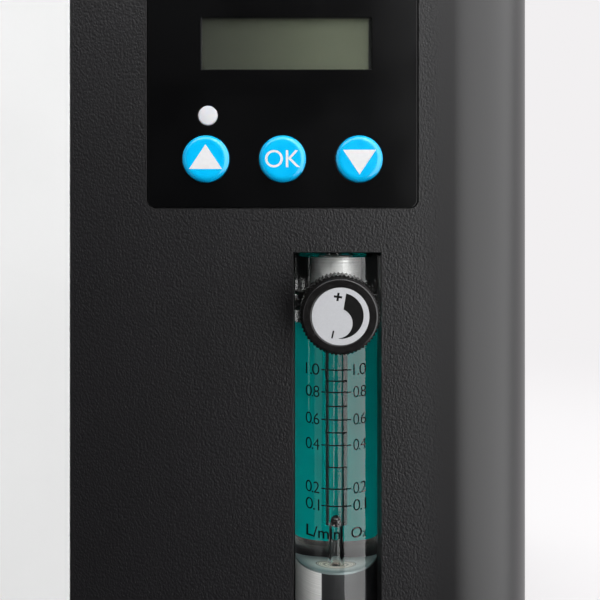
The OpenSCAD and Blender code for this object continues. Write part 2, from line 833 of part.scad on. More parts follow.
module door_pins() {
    l = door_pin_in + door_pin_set - play - fit;
    color("silver") for (z = [bay_z - door_lap - door_pin_set + fit,
        bay_z - door_lap + door_h - door_pin_in + play]) {
        bar_z([hinge_x, hinge_y, z], door_pin_r, l);
    }
}

// Block with a round groove that the barrel lies in
module syringe_cradle() {
    back = front_y + bay_d - fit;
    color("whitesmoke") for (z = [clamp_z - 20, clamp_z + 12]) difference() {
        block([bay_x - cradle_w / 2, syringe_y, z], [bay_x + cradle_w / 2, back, z + 14]);
        bar_z([bay_x, syringe_y, z - eps], barrel_r + cradle_gap, 14 + 2 * eps);
    }
}

module syringe_barrel() {
    color([0.9, 0.95, 0.95, 0.3]) translate([bay_x, syringe_y, 0]) difference() {
        union() {
            bar_z([0, 0, barrel_z], barrel_r, barrel_l + flange_t);
            intersection() {
                bar_z([0, 0, barrel_top], 16, flange_t);
                block([-16, -barrel_r - 1, barrel_top], [16, barrel_r + 1, barrel_top + flange_t]);
            }
            translate([0, 0, barrel_z - 3]) cylinder(r1 = 3.5, r2 = barrel_r, h = 3);
            translate([0, 0, barrel_z - 11]) cylinder(r1 = tip_r - 0.1, r2 = tip_r + 0.2, h = 8.5);
        }
        bar_z([0, 0, barrel_z + 2], barrel_bore_r, barrel_l + flange_t);
        bar_z([0, 0, barrel_z - 12], 0.9, 15);
    }
}

module syringe_plunger() {
    seal_z = barrel_z + 2.5 + stroke;
    translate([bay_x, syringe_y, 0]) {
        color("silver") {
            bar_z([0, 0, seal_z + seal_h], rod_of_plunger_r, thumb_z - seal_z - seal_h + eps);
            bar_z([0, 0, thumb_z], thumb_r, flange_t);
        }
        color("white") bar_z([0, 0, seal_z], barrel_bore_r - run, seal_h);
    }
}

module clamp_arm() {
    color([0.16, 0.16, 0.17]) difference() {
        union() {
            bar_y([clamp_x, clamp_y, clamp_z], clamp_h / 2, clamp_t);
            block([clamp_x, clamp_y, clamp_z - clamp_h / 2],
                [bay_x + 12, clamp_y + clamp_t, clamp_z + clamp_h / 2]);
        }
        bar_y([clamp_x, clamp_y - eps, clamp_z], 2 + run, clamp_t + 2 * eps);
    }
}

// Post that the clamp arm turns on, fixed to the tray's back
module clamp_post() {
    back = front_y + bay_d - fit;
    color("silver") {
        bar_y([clamp_x, clamp_y - 2, clamp_z], 2, back - clamp_y + 2);
        bar_y([clamp_x, clamp_y - 3.4, clamp_z], 3.4, 3.4 - play);
        bar_y([clamp_x, clamp_y + clamp_t + play, clamp_z], 3, back - clamp_y - clamp_t - play);
    }
}

module luer_inlet() {
    color([0.75, 0.6, 0.3]) translate([bay_x, syringe_y, 0]) difference() {
        union() {
            bar_z([0, 0, bay_z - tray_t - 9], 3.4, 9);
            bar_z([0, 0, bay_z - tray_t], 5, tray_t + fit);
            bar_z([0, 0, bay_z + fit], 7, 9);
        }
        translate([0, 0, bay_z]) cylinder(r1 = tip_r + 0.1, r2 = tip_r + 0.35, h = 9 + fit + eps);
        bar_z([0, 0, bay_z - tray_t - 10], tip_r - 0.2, 13);
    }
}

// ---- Syringe drive ----

module drive_frame() {
    x = rod_off + rod_r + 4;
    color("silver") difference() {
        union() {
            for (z = [low_bracket_z, top_bracket_z]) {
                block([bay_x - x, drive_y - 14, z], [bay_x + x, drive_y + 17, z + bracket_h]);
            }
            block([bay_x - x, drive_y + 14, low_bracket_z],
                [bay_x + x, drive_y + 17, top_bracket_z + bracket_h]);
            // Foot that stands on the base plate
            block([bay_x - x, drive_y + 14, base_z + plate_t + fit],
                [bay_x + x, drive_y + 17, low_bracket_z + eps]);
        }
        for (i = [-1, 1]) bar_z([bay_x + i * rod_off, drive_y, low_bracket_z - eps], rod_r + fit,
            top_bracket_z + 2 * bracket_h - low_bracket_z);
        for (z = [low_bracket_z, top_bracket_z])
            bar_z([bay_x, drive_y, z - eps], bearing_r + fit, bracket_h + 2 * eps);
    }
}

module guide_rods() {
    color("silver") for (i = [-1, 1]) {
        bar_z([bay_x + i * rod_off, drive_y, low_bracket_z], rod_r,
            top_bracket_z + bracket_h - low_bracket_z);
    }
}

// Screw with its coupling to the motor's shaft
module lead_screw() {
    z0 = low_bracket_z + bracket_h + 1;
    color("dimgray") {
        bar_z([bay_x, drive_y, z0 + coupling_h - fit], screw_r,
            top_bracket_z + bracket_h - z0 - coupling_h);
        difference() {
            bar_z([bay_x, drive_y, z0], coupling_r, coupling_h);
            bar_z([bay_x, drive_y, z0 - eps], 2.5 + fit, 7 + eps);
        }
    }
}

module screw_bearings() {
    color("darkgray") {
        difference() {
            bar_z([bay_x, drive_y, top_bracket_z], bearing_r, bracket_h);
            bar_z([bay_x, drive_y, top_bracket_z - eps], screw_r + run, bracket_h + 2 * eps);
        }
        difference() {
            bar_z([bay_x, drive_y, low_bracket_z], bearing_r, bracket_h);
            bar_z([bay_x, drive_y, low_bracket_z - eps], 2.5 + run, bracket_h + 2 * eps);
        }
    }
}

module drive_motor() {
    z = low_bracket_z - fit;
    h = motor_w / 2;
    color([0.2, 0.2, 0.2]) block([bay_x - h, drive_y - 14, z - motor_h],
        [bay_x + h, drive_y + 14 - fit, z]);
    color("silver") bar_z([bay_x, drive_y, z], 2.5, bracket_h + 7);
}

module carriage() {
    x = rod_off + rod_r + 3;
    z = carriage_z;
    color("silver") difference() {
        union() {
            block([bay_x - x, drive_y - 10, z], [bay_x + x, drive_y + 10, z + carriage_h]);
            block([bay_x - arm_w / 2, syringe_y + thumb_r + 5, z],
                [bay_x + arm_w / 2, drive_y - 9, z + carriage_h]);
        }
        for (i = [-1, 1]) bar_z([bay_x + i * rod_off, drive_y, z - eps], rod_r + run, carriage_h + 2 * eps);
        bar_z([bay_x, drive_y, z - eps], 5.5 + fit, carriage_h + 2 * eps);
    }
}

module drive_nut() {
    color([0.75, 0.6, 0.3]) difference() {
        bar_z([bay_x, drive_y, carriage_z - 1], 5.5, carriage_h + 2);
        bar_z([bay_x, drive_y, carriage_z - 1 - eps], screw_r + run, carriage_h + 2 + 2 * eps);
    }
}

// Block that holds the plunger's thumb flange, open to the front
module pusher_claw() {
    z = thumb_z - 3;
    y1 = syringe_y + thumb_r + 5 - fit;
    color([0.16, 0.16, 0.17]) difference() {
        block([bay_x - 14, syringe_y - 8, z], [bay_x + 14, y1, z + claw_h]);
        bar_z([bay_x, syringe_y, thumb_z - fit], thumb_r + fit, flange_t + 2 * fit);
        block([bay_x - thumb_r - fit, syringe_y - 9, thumb_z - fit],
            [bay_x + thumb_r + fit, syringe_y, thumb_z + flange_t + fit]);
        bar_z([bay_x, syringe_y, z - eps], rod_of_plunger_r + play, 4);
        block([bay_x - rod_of_plunger_r - play, syringe_y - 9, z - eps],
            [bay_x + rod_of_plunger_r + play, syringe_y, thumb_z]);
    }
}

// ---- Vaporiser, tubes and ports ----

module vaporiser_block() {
    color("lightgray") difference() {
        block([vap_x - vap_w / 2, vap_y - vap_d / 2, vap_z],
            [vap_x + vap_w / 2, vap_y + vap_d / 2, vap_z + vap_h]);
        block([vap_x - vap_w / 2 + 8, vap_y - vap_d / 2 + 8, vap_z + 6],
              [vap_x + vap_w / 2 - 8, vap_y + vap_d / 2 - 8, vap_z + vap_h + eps]);
    }
    // Legs
    color("lightgray") for (i = [-1, 1], j = [-1, 1]) {
        bar_z([vap_x + i * (vap_w / 2 - 6), vap_y + j * (vap_d / 2 - 6), base_z + plate_t + fit], 4,
            vap_z - base_z - plate_t - fit);
    }
}

module vaporiser_lid() {
    z = vap_z + vap_h + fit;
    color("silver") {
        difference() {
            block([vap_x - vap_w / 2, vap_y - vap_d / 2, z],
                [vap_x + vap_w / 2, vap_y + vap_d / 2, z + lid_h]);
            for (i = [-1:1]) bar_z([vap_x + i * 16, vap_y, z - eps], tube_bore_r, lid_h + 2 * eps);
        }
        for (i = [-1:1]) difference() {
            bar_z([vap_x + i * 16, vap_y, z + lid_h], 4, 6);
            bar_z([vap_x + i * 16, vap_y, z + lid_h - eps], tube_bore_r, 7);
        }
        // Socket screws at the corners
        for (i = [-1, 1], j = [-1, 1]) {
            bar_z([vap_x + i * (vap_w / 2 - 5), vap_y + j * (vap_d / 2 - 5), z + lid_h], 2.8, 3);
        }
    }
}

module heater_pad() {
    color("orangered") block(
        [vap_x - vap_w / 2 + 11, vap_y - 14, vap_z - 1.5],
        [vap_x + vap_w / 2 - 11, vap_y + 14, vap_z - fit]);
}

lid_top = vap_z + vap_h + fit + lid_h + 6 + fit;
panel_back = rear_y - rear_inset - plate_t - 14 - fit;

module inlet_tube() {
    color([0.85, 0.9, 0.95]) tube([
        [port_x[0], panel_back, port_z], [port_x[0], panel_back - 40, port_z],
        [port_x[0], panel_back - 40, body_z - 17.5], [meter_x, panel_back - 40, body_z - 17.5],
        [meter_x, bore_y + 14 + fit, body_z - 17.5]
    ]);
}

module meter_tube() {
    color([0.85, 0.9, 0.95]) tube([
        [meter_x, body_back_y + 12 + 2 * fit, valve_z], [meter_x, vap_y, valve_z],
        [vap_x + 16, vap_y, valve_z], [vap_x + 16, vap_y, lid_top]
    ]);
}

module vapour_tube() {
    color([0.85, 0.9, 0.95]) tube([
        [vap_x, vap_y, lid_top], [vap_x, vap_y, lid_top + 20], [port_x[1] - 40, vap_y, lid_top + 20],
        [port_x[1] - 40, panel_back - 12, lid_top + 20], [port_x[1] - 40, panel_back - 12, port_z]
    ]);
}

module feed_tube() {
    color([0.85, 0.9, 0.95]) tube([
        [bay_x, syringe_y, bay_z - tray_t - 9 - fit], [bay_x, syringe_y, bay_z - tray_t - 22],
        [seam_x + 8, syringe_y, bay_z - tray_t - 22], [seam_x + 8, vap_y - 40, bay_z - tray_t - 22]
    ]);
}

// Push-in tube fittings through the rear panel
module gas_ports() {
    y = rear_y - rear_inset;
    for (x = port_x) color("silver") difference() {
        union() {
            bar_y([x, y + fit, port_z], port_r, port_reach + rear_inset - fit);
            bar_y([x, y - plate_t - 14, port_z], port_shank_r, plate_t + 14 + 2 * fit);
            translate([x, y - plate_t - 4, port_z]) rotate([-90, 0, 0])
                cylinder(r = 8, h = 4 - fit, $fn = 6);
        }
        bar_y([x, rear_y + port_reach - port_bore_l, port_z], port_bore_r, port_bore_l + eps);
        bar_y([x, y - plate_t - 15, port_z], tube_bore_r, port_reach + 20);
    }
}

module switch_body() {
    y = rear_y - rear_inset;
    color([0.08, 0.08, 0.08]) difference() {
        union() {
            block([switch_x - switch_w / 2 - 1.5, y + fit, switch_z - switch_h / 2 - 1.5],
                  [switch_x + switch_w / 2 + 1.5, y + 2, switch_z + switch_h / 2 + 1.5]);
            block([switch_x - switch_w / 2 + fit, y - 14, switch_z - switch_h / 2 + fit],
                  [switch_x + switch_w / 2 - fit, y + 1, switch_z + switch_h / 2 - fit]);
        }
        block([switch_x - switch_w / 2 + 1.5, y - 9, switch_z - switch_h / 2 + 1.5],
              [switch_x + switch_w / 2 - 1.5, y + 3, switch_z + switch_h / 2 - 1.5]);
        translate([switch_x, rocker_y, switch_z]) rotate([0, 90, 0])
            cylinder(r = rocker_pin_r + run, h = switch_w - 2 * 0.4, center = true);
    }
}

rocker_y = rear_y - rear_inset - 1.5;

module switch_rocker() {
    w = switch_w / 2 - 1.5 - play;
    h = switch_h / 2 - 1.5 - 0.7;
    color([0.1, 0.1, 0.1]) translate([switch_x, rocker_y, switch_z]) rotate([rocker_tilt, 0, 0]) {
        rotate([90, 0, 90]) translate([0, 0, -w]) linear_extrude(2 * w)
            polygon([[-3, -3], [-3, 3], [2.5, h], [4.6, h - 0.2], [3.4, 0], [4.6, -h + 0.2], [2.5, -h]]);
        rotate([0, 90, 0]) cylinder(r = rocker_pin_r, h = switch_w - 2 * 0.4 - 2 * run, center = true);
    }
}

module dc_jack() {
    y = rear_y - rear_inset;
    color([0.08, 0.08, 0.08]) difference() {
        union() {
            bar_y([switch_x, y + fit, jack_z], 7, 2);
            bar_y([switch_x, y - 14, jack_z], jack_r, 14 + 2 * fit);
        }
        bar_y([switch_x, y - 10, jack_z], 3.1, 14);
    }
    color("silver") bar_y([switch_x, y - 10.5, jack_z], 1.05, 10);
}

left_housing();
right_housing();
rear_panel();
base_plate();
feet();
foot_screws();
panel_screws();
control_panel();
lcd_window();
lcd_module();
lcd_glass();
status_lamp();
key(-1);  // up_key
key(0);  // ok_key
key(1);  // down_key
key_board();
control_board();
ribbon_cable();
flowmeter_body();
scale_backing();
top_plug();
bottom_plug();
plug_seals();
float_ball();
valve_bonnet();
valve_spindle();
valve_knob();
knob_disc();
meter_elbows();
flowmeter_bracket();
bay_tray();
bay_door();
door_pull();
door_pins();
syringe_cradle();
syringe_barrel();
syringe_plunger();
clamp_arm();
clamp_post();
luer_inlet();
drive_frame();
guide_rods();
lead_screw();
screw_bearings();
drive_motor();
carriage();
drive_nut();
pusher_claw();
vaporiser_block();
vaporiser_lid();
heater_pad();
inlet_tube();
meter_tube();
vapour_tube();
feed_tube();
gas_ports();
switch_body();
switch_rocker();
dc_jack();
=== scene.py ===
"""Looks of a table-top anesthesia machine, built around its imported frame.

Lengths are in metres, and MM turns millimetres into them.
"""
import json
import math

import bpy
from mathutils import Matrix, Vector


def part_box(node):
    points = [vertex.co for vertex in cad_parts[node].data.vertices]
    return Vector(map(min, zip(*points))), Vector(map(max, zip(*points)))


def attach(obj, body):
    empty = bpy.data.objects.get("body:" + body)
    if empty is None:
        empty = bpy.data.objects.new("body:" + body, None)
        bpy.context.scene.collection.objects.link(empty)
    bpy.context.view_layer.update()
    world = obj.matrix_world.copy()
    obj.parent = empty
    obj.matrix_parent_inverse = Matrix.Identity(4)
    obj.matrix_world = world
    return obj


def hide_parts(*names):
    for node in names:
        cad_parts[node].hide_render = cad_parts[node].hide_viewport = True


bl_info = {
    "name": "Anesthesia machine looks",
    "version": (1, 0, 0),
    "blender": (4, 5, 0),
    "location": "View3D > Sidebar > Machine",
    "description": "Covers, keys, prints and finishes of a table-top anesthesia machine",
    "category": "Object",
}

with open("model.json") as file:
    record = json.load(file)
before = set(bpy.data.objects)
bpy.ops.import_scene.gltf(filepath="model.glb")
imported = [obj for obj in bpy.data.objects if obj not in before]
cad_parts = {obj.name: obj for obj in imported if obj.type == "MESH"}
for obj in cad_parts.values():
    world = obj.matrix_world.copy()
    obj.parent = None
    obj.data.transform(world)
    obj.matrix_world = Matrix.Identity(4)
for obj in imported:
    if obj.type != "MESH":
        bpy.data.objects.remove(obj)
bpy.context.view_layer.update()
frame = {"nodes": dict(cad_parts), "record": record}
NODES = frame["nodes"]
BODIES = frame["record"]["behaviour"]["bodies"]
BODY_OF = {node: body for body, members in BODIES.items() for node in members}
SLOT_OF = {part["node"]: part["material_slot"] for part in frame["record"]["subparts"]}

MM = 0.001
TURN = 2 * math.pi
SKIN = 0.03 * MM  # half the thickness of a printed mark
FACE_REACH = 0.05 * MM  # how far behind its front a piece's front face may lie
SHARP_EDGE = math.radians(30)  # edges that turn by more than this are rounded
PRINT_LIFT = 0.02 * MM  # how far a print stands off what it is on
CLEAR_SHADOW = 0.06  # how much shadow a clear piece still casts
DUST = (0.35, 0.34, 0.32, 1)
COVER_DUST = (0.3, 0.3, 0.3, 1)
WELD = 0.002 * MM  # corners of a node closer than this are one
FLAT = math.radians(0.2)  # faces of a node that turn by less than this are one


def middle(node):
    """The centre of a node's box."""
    low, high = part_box(node)
    return (low + high) / 2


def front(node):
    """The lowest Y of a node, where its front face is."""
    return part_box(node)[0].y


# Modelling helpers

def begin():
    """Leave edit mode and deselect everything."""
    if bpy.context.object and bpy.context.object.mode != "OBJECT":
        bpy.ops.object.mode_set(mode="OBJECT")
    bpy.ops.object.select_all(action="DESELECT")


def choose(*objects):
    """Select only these objects, with the first one active."""
    begin()
    for each in objects:
        each.select_set(True)
    bpy.context.view_layer.objects.active = objects[0]


def settle(obj, name):
    """Name an object and put its place, turn and size into its mesh."""
    choose(obj)
    obj.name = name
    bpy.ops.object.transform_apply(location=True, rotation=True, scale=True)
    return obj


def start(kind, name, **sizes):
    """Add a primitive at its size and place."""
    begin()
    getattr(bpy.ops.mesh, f"primitive_{kind}_add")(**sizes)
    return settle(bpy.context.object, name)


def disc_blank(name, radius, depth, centre, axis="Y", vertices=96):
    """A round blank along Y or Z with its centre at the given point."""
    turn = (TURN / 4, 0, 0) if axis == "Y" else (0, 0, 0)
    return start("cylinder", name, vertices=vertices, radius=radius, depth=depth, location=centre,
                 rotation=turn)


def edit_faces(obj, test):
    """Enter edit mode with only the faces that pass the test selected."""
    choose(obj)
    bpy.ops.object.mode_set(mode="EDIT")
    bpy.ops.mesh.select_mode(type="FACE")
    bpy.ops.mesh.select_all(action="DESELECT")
    bpy.ops.object.mode_set(mode="OBJECT")
    for face in obj.data.polygons:
        face.select = test(face)
    bpy.ops.object.mode_set(mode="EDIT")


def facing_front(face):
    """True for a face that looks along -Y."""
    return face.normal.y < -0.99


def change(obj, kind, **settings):
    """Add a modifier and apply it."""
    choose(obj)
    modifier = obj.modifiers.new(kind.lower(), kind)
    for key, value in settings.items():
        setattr(modifier, key, value)
    bpy.ops.object.modifier_apply(modifier=modifier.name)


def cut(obj, tool):
    """Take a tool's shape out of an object, and remove the tool."""
    change(obj, "BOOLEAN", operation="DIFFERENCE", object=tool, solver="EXACT")
    bpy.data.objects.remove(tool)


def round_edges(obj, width, segments):
    """Round an object's sharp edges."""
    change(obj, "BEVEL", width=width, segments=segments, limit_method="ANGLE", angle_limit=SHARP_EDGE)


def round_rim(obj, width, segments, profile=0.5):
    """Round the rim of an object's foremost face."""
    face_y = min(vertex.co.y for vertex in obj.data.vertices)
    edit_faces(obj, lambda face: facing_front(face) and face.center.y < face_y + FACE_REACH)
    bpy.ops.mesh.bevel(offset=width, segments=segments, profile=profile, affect="EDGES")
    bpy.ops.object.mode_set(mode="OBJECT")


def smooth(obj, angle=32):
    """Smooth shading, broken at sharp edges."""
    choose(obj)
    bpy.ops.object.shade_smooth_by_angle(angle=math.radians(angle))


def flatten_shading(obj, weight):
    """Let the large faces lead the shading of the small ones beside them."""
    change(obj, "WEIGHTED_NORMAL", mode="FACE_AREA", weight=weight, keep_sharp=True)


def join(name, parts):
    """Join several objects into one."""
    choose(*parts)
    bpy.ops.object.join()
    parts[0].name = name
    return parts[0]


def finish_piece(obj, body, slot, material=None, replaced=()):
    """Give a piece its finish and its body, and hide the nodes that it stands for."""
    obj.data.materials.clear()
    obj.data.materials.append(material or FINISHES[slot])
    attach(obj, body)
    if replaced:
        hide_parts(*replaced)
    return obj


def eased_copy(node, width, segments=2):
    """A merged copy of a node, with its sharp edges rounded, that stands for the node."""
    source = NODES[node]
    copy = source.copy()
    copy.data = source.data.copy()
    for key in list(copy.keys()):
        del copy[key]
    copy.parent = None
    bpy.context.scene.collection.objects.link(copy)
    copy.name = node + "_finished"
    choose(copy)
    bpy.ops.mesh.customdata_custom_splitnormals_clear()
    bpy.ops.object.mode_set(mode="EDIT")
    bpy.ops.mesh.select_all(action="SELECT")
    bpy.ops.mesh.remove_doubles(threshold=WELD)
    bpy.ops.mesh.dissolve_limited(angle_limit=FLAT)
    bpy.ops.object.mode_set(mode="OBJECT")
    if width:
        round_edges(copy, width, segments)
    smooth(copy)
    flatten_shading(copy, weight=100)
    return finish_piece(copy, BODY_OF[node], SLOT_OF[node], replaced=[node])


def lettering(name, text, height, centre, angle=0.0, width=None, weight=0.0, spacing=1.0):
    """Flat lettering that faces -Y, with its middle at a point. Weight thickens its strokes."""
    begin()
    bpy.ops.object.text_add()
    obj = bpy.context.object
    obj.data.body = text
    obj.data.resolution_u = 6
    obj.data.extrude = 0.01  # a fiftieth of SKIN in thickness once it is scaled
    obj.data.offset = weight
    obj.data.space_character = spacing
    bpy.ops.object.convert(target="MESH")
    low = Vector([min(v.co[i] for v in obj.data.vertices) for i in range(3)])
    high = Vector([max(v.co[i] for v in obj.data.vertices) for i in range(3)])
    obj.location = -(low + high) / 2
    settle(obj, name)
    tall = height / (high.y - low.y)
    wide = tall if width is None else width / (high.x - low.x)
    obj.scale = (wide, tall, SKIN)
    obj.rotation_euler = (0, 0, angle)
    settle(obj, name)
    obj.rotation_euler = (TURN / 4, 0, 0)
    obj.location = centre
    return settle(obj, name)


def bar(name, width, height, centre):
    """A printed line that faces -Y, fine enough to wrap round a curved front."""
    begin()
    bpy.ops.mesh.primitive_grid_add(
        x_subdivisions=14, y_subdivisions=2, size=1, location=centre, rotation=(TURN / 4, 0, 0))
    obj = bpy.context.object
    obj.scale = (width, height, 1)
    return settle(obj, name)


def wrap_onto(obj, node):
    """Lay a print onto a node's front, along +Y."""
    change(obj, "SHRINKWRAP", target=NODES[node], wrap_method="PROJECT", use_project_y=True,
           use_positive_direction=True, use_negative_direction=True, offset=PRINT_LIFT)


def print_on(node, slot, **prints):
    """Join each set of marks under its name, and lay it onto a node as black print."""
    for name, marks in prints.items():
        mark = join(name, marks)
        wrap_onto(mark, node)
        finish_piece(mark, "cabinet", slot, FINISHES["print_black"])


# Shader helpers

def place(tree, kind, values=None, **sockets):
    """Add a node. Values are its settings, and sockets are constants or links.

    A socket goes by its name, with _ for a space, or by its number after an i.
    """
    made = tree.nodes.new("ShaderNode" + kind)
    for key, value in (values or {}).items():
        setattr(made, key, value)
    for key, value in sockets.items():
        numbered = key[0] == "i" and key[1:].isdigit()
        socket = made.inputs[int(key[1:]) if numbered else key.replace("_", " ")]
        if isinstance(value, bpy.types.NodeSocket):
            tree.links.new(value, socket)
        else:
            socket.default_value = value
    return made


def surface_point(tree):
    """Where a point of the surface is, on Object coordinates."""
    return place(tree, "TexCoord").outputs["Object"]


def cloud(tree, where, scale, detail):
    """Noise over a place, from 0 to 1."""
    return place(tree, "TexNoise", Vector=where, Scale=scale, Detail=detail).outputs["Fac"]


def banded(tree, distance, detail):
    """Noise along one distance, for rings and lines."""
    settings = {"noise_dimensions": "1D"}
    return place(tree, "TexNoise", settings, W=distance, Scale=1.0, Detail=detail).outputs["Fac"]


def maths(tree, operation, first, second):
    """A Math node's result."""
    return place(tree, "Math", {"operation": operation}, i0=first, i1=second).outputs[0]


def vector_maths(tree, operation, first, second=(0, 0, 0)):
    """A Vector Math node."""
    return place(tree, "VectorMath", {"operation": operation}, i0=first, i1=second)


def length(tree, vector):
    """A vector's length."""
    return vector_maths(tree, "LENGTH", vector).outputs["Value"]


def scaled(tree, vector, share):
    """A vector times a number."""
    return place(tree, "VectorMath", {"operation": "SCALE"}, i0=vector, Scale=share).outputs[0]


def mixed(tree, share, first, second, blend="MIX"):
    """A colour between two others."""
    settings = {"data_type": "RGBA", "blend_type": blend}
    return place(tree, "Mix", settings, Factor=share, i6=first, i7=second).outputs[2]


def ramped(tree, value, low, high, out_low=0.0, out_high=1.0):
    """A smooth step of a value."""
    made = place(tree, "MapRange", {"interpolation_type": "SMOOTHSTEP"}, Value=value,
                 From_Min=low, From_Max=high, To_Min=out_low, To_Max=out_high)
    return made.outputs[0]


def toned(colour, share=1.0):
    """A colour made darker or lighter, with its alpha."""
    return tuple(min(1, c * share) for c in colour) + (1,)


def new_group(name, inputs, outputs):
    """A node group with named inputs and outputs: its tree, its inputs and its output node."""
    group = bpy.data.node_groups.new(name, "ShaderNodeTree")
    for label, kind, default in inputs:
        socket = group.interface.new_socket(label, in_out="INPUT", socket_type=kind)
        socket.default_value = default
    for label in outputs:
        group.interface.new_socket(label, in_out="OUTPUT", socket_type="NodeSocketFloat")
    entry = group.nodes.new("NodeGroupInput")
    leave = group.nodes.new("NodeGroupOutput")
    return group, entry.outputs, leave


def use(tree, group, **sockets):
    """Place a node group in a material."""
    made = tree.nodes.new("ShaderNodeGroup")
    made.node_tree = group
    for key, value in sockets.items():
        made.inputs[key].default_value = value
    return made


def group_mottle():
    """Soft uneven patches of a given size."""
    group, entry, leave = new_group("mottle", [("Size", "NodeSocketFloat", 0.01)], ["Value"])
    patches = cloud(group, surface_point(group), maths(group, "DIVIDE", 1.0, entry["Size"]), 4.0)
    group.links.new(ramped(group, patches, 0.3, 0.7), leave.inputs["Value"])
    return group


def group_skin():
    """The fine uneven surface of a moulding."""
    group, entry, leave = new_group("moulded_skin", [("Size", "NodeSocketFloat", 0.001)], ["Height"])
    height = cloud(group, surface_point(group), maths(group, "DIVIDE", 1.0, entry["Size"]), 2.0)
    group.links.new(height, leave.inputs["Height"])
    return group


def group_grain():
    """A fine pebbled grain that fades out between two places along X."""
    group, entry, leave = new_group(
        "pebbled_grain",
        [("Size", "NodeSocketFloat", 0.001), ("Fade start", "NodeSocketFloat", 1.0),
         ("Fade end", "NodeSocketFloat", 2.0)],
        ["Height", "Mask"])
    where = surface_point(group)
    scale = maths(group, "DIVIDE", 1.0, entry["Size"])
    bend = place(group, "TexNoise", Vector=where, Scale=scale, Detail=2.0).outputs["Color"]
    shift = scaled(group, bend, maths(group, "MULTIPLY", entry["Size"], 0.9))
    moved = vector_maths(group, "ADD", where, shift).outputs[0]
    tall = vector_maths(group, "MULTIPLY", moved, (1.0, 1.0, 0.72)).outputs[0]
    cells = place(group, "TexVoronoi", {"feature": "SMOOTH_F1"}, Vector=tall, Scale=scale, Smoothness=0.8)
    fine = cloud(group, where, maths(group, "MULTIPLY", scale, 2.6), 3.0)
    pebble = maths(group, "SUBTRACT", 1.0, cells.outputs["Distance"])
    height = maths(group, "ADD", pebble, maths(group, "MULTIPLY", fine, 0.5))
    across = place(group, "SeparateXYZ", Vector=where).outputs["X"]
    mask = ramped(group, across, entry["Fade start"], entry["Fade end"], 1.0, 0.0)
    group.links.new(maths(group, "MULTIPLY", height, mask), leave.inputs["Height"])
    group.links.new(mask, leave.inputs["Mask"])
    return group


def group_turned():
    """The fine grooves that a lathe leaves on a part that turns about an axis."""
    group, entry, leave = new_group(
        "turning_marks",
        [("Centre", "NodeSocketVector", (0, 0, 0)), ("Axis", "NodeSocketVector", (0, 0, 1)),
         ("Pitch", "NodeSocketFloat", 0.0003)],
        ["Height"])
    local = vector_maths(group, "SUBTRACT", surface_point(group), entry["Centre"]).outputs[0]
    along = vector_maths(group, "DOT_PRODUCT", local, entry["Axis"]).outputs["Value"]
    on_axis = scaled(group, entry["Axis"], along)
    out = length(group, vector_maths(group, "SUBTRACT", local, on_axis).outputs[0])
    grooves = maths(group, "DIVIDE", maths(group, "ADD", along, out), entry["Pitch"])
    group.links.new(banded(group, grooves, 2.0), leave.inputs["Height"])
    return group


def group_dust():
    """A thin dust that lies on what faces up."""
    group, entry, leave = new_group("settled_dust", [("Amount", "NodeSocketFloat", 0.1)], ["Mask"])
    normal = place(group, "NewGeometry").outputs["Normal"]
    up = place(group, "SeparateXYZ", Vector=normal).outputs["Z"]
    specks = cloud(group, surface_point(group), 700.0, 5.0)
    level = maths(group, "MULTIPLY", ramped(group, up, 0.2, 1.0), ramped(group, specks, 0.35, 0.75))
    group.links.new(maths(group, "MULTIPLY", level, entry["Amount"]), leave.inputs["Mask"])
    return group


GROUPS = {}
FINISHES = {}


def new_material(name, **constants):
    """A material's tree and its Principled BSDF, with constants set on its sockets."""
    material = bpy.data.materials.new(name)
    material.use_nodes = True
    tree = material.node_tree
    shader = tree.nodes["Principled BSDF"]
    for key, value in constants.items():
        shader.inputs[key.replace("_", " ")].default_value = value
    FINISHES[name] = material
    return tree, shader


def join_bump(tree, shader, height, depth):
    """Feed a height to the normal through a Bump node."""
    bump = place(tree, "Bump", Height=height, Distance=depth, Strength=1.0)
    tree.links.new(bump.outputs["Normal"], shader.inputs["Normal"])


def moulded(name, colour, rough, patch=8, skin=0.5, depth=0.01, vary=0.12, dust=0.0, **constants):
    """A plain finish with soft patches, a fine skin and some dust.

    Patch, skin and depth are in millimetres.
    """
    tree, shader = new_material(name, **constants)
    patches = use(tree, GROUPS["mottle"], Size=patch * MM).outputs["Value"]
    tone = mixed(tree, patches, toned(colour, 1 - vary), toned(colour, 1 + vary))
    if dust:
        veil = use(tree, GROUPS["settled_dust"], Amount=dust).outputs["Mask"]
        tone = mixed(tree, veil, tone, DUST)
    tree.links.new(tone, shader.inputs["Base Color"])
    tree.links.new(ramped(tree, patches, 0, 1, rough * 0.9, rough * 1.1), shader.inputs["Roughness"])
    height = use(tree, GROUPS["moulded_skin"], Size=skin * MM).outputs["Height"]
    join_bump(tree, shader, height, depth * MM)


def turned(name, colour, rough, node, axis, pitch, depth):
    """Metal turned about an axis through a node's middle. Pitch and depth are in millimetres."""
    tree, shader = new_material(name, Metallic=1.0)
    marks = use(tree, GROUPS["turning_marks"], Centre=middle(node), Axis=axis, Pitch=pitch * MM)
    height = marks.outputs["Height"]
    patches = use(tree, GROUPS["mottle"], Size=3 * MM).outputs["Value"]
    stain = maths(tree, "MULTIPLY", height, patches)
    tree.links.new(mixed(tree, stain, toned(colour), toned(colour, 0.72)), shader.inputs["Base Color"])
    tree.links.new(ramped(tree, height, 0.2, 0.8, rough * 0.7, rough * 1.3), shader.inputs["Roughness"])
    join_bump(tree, shader, height, depth * MM)


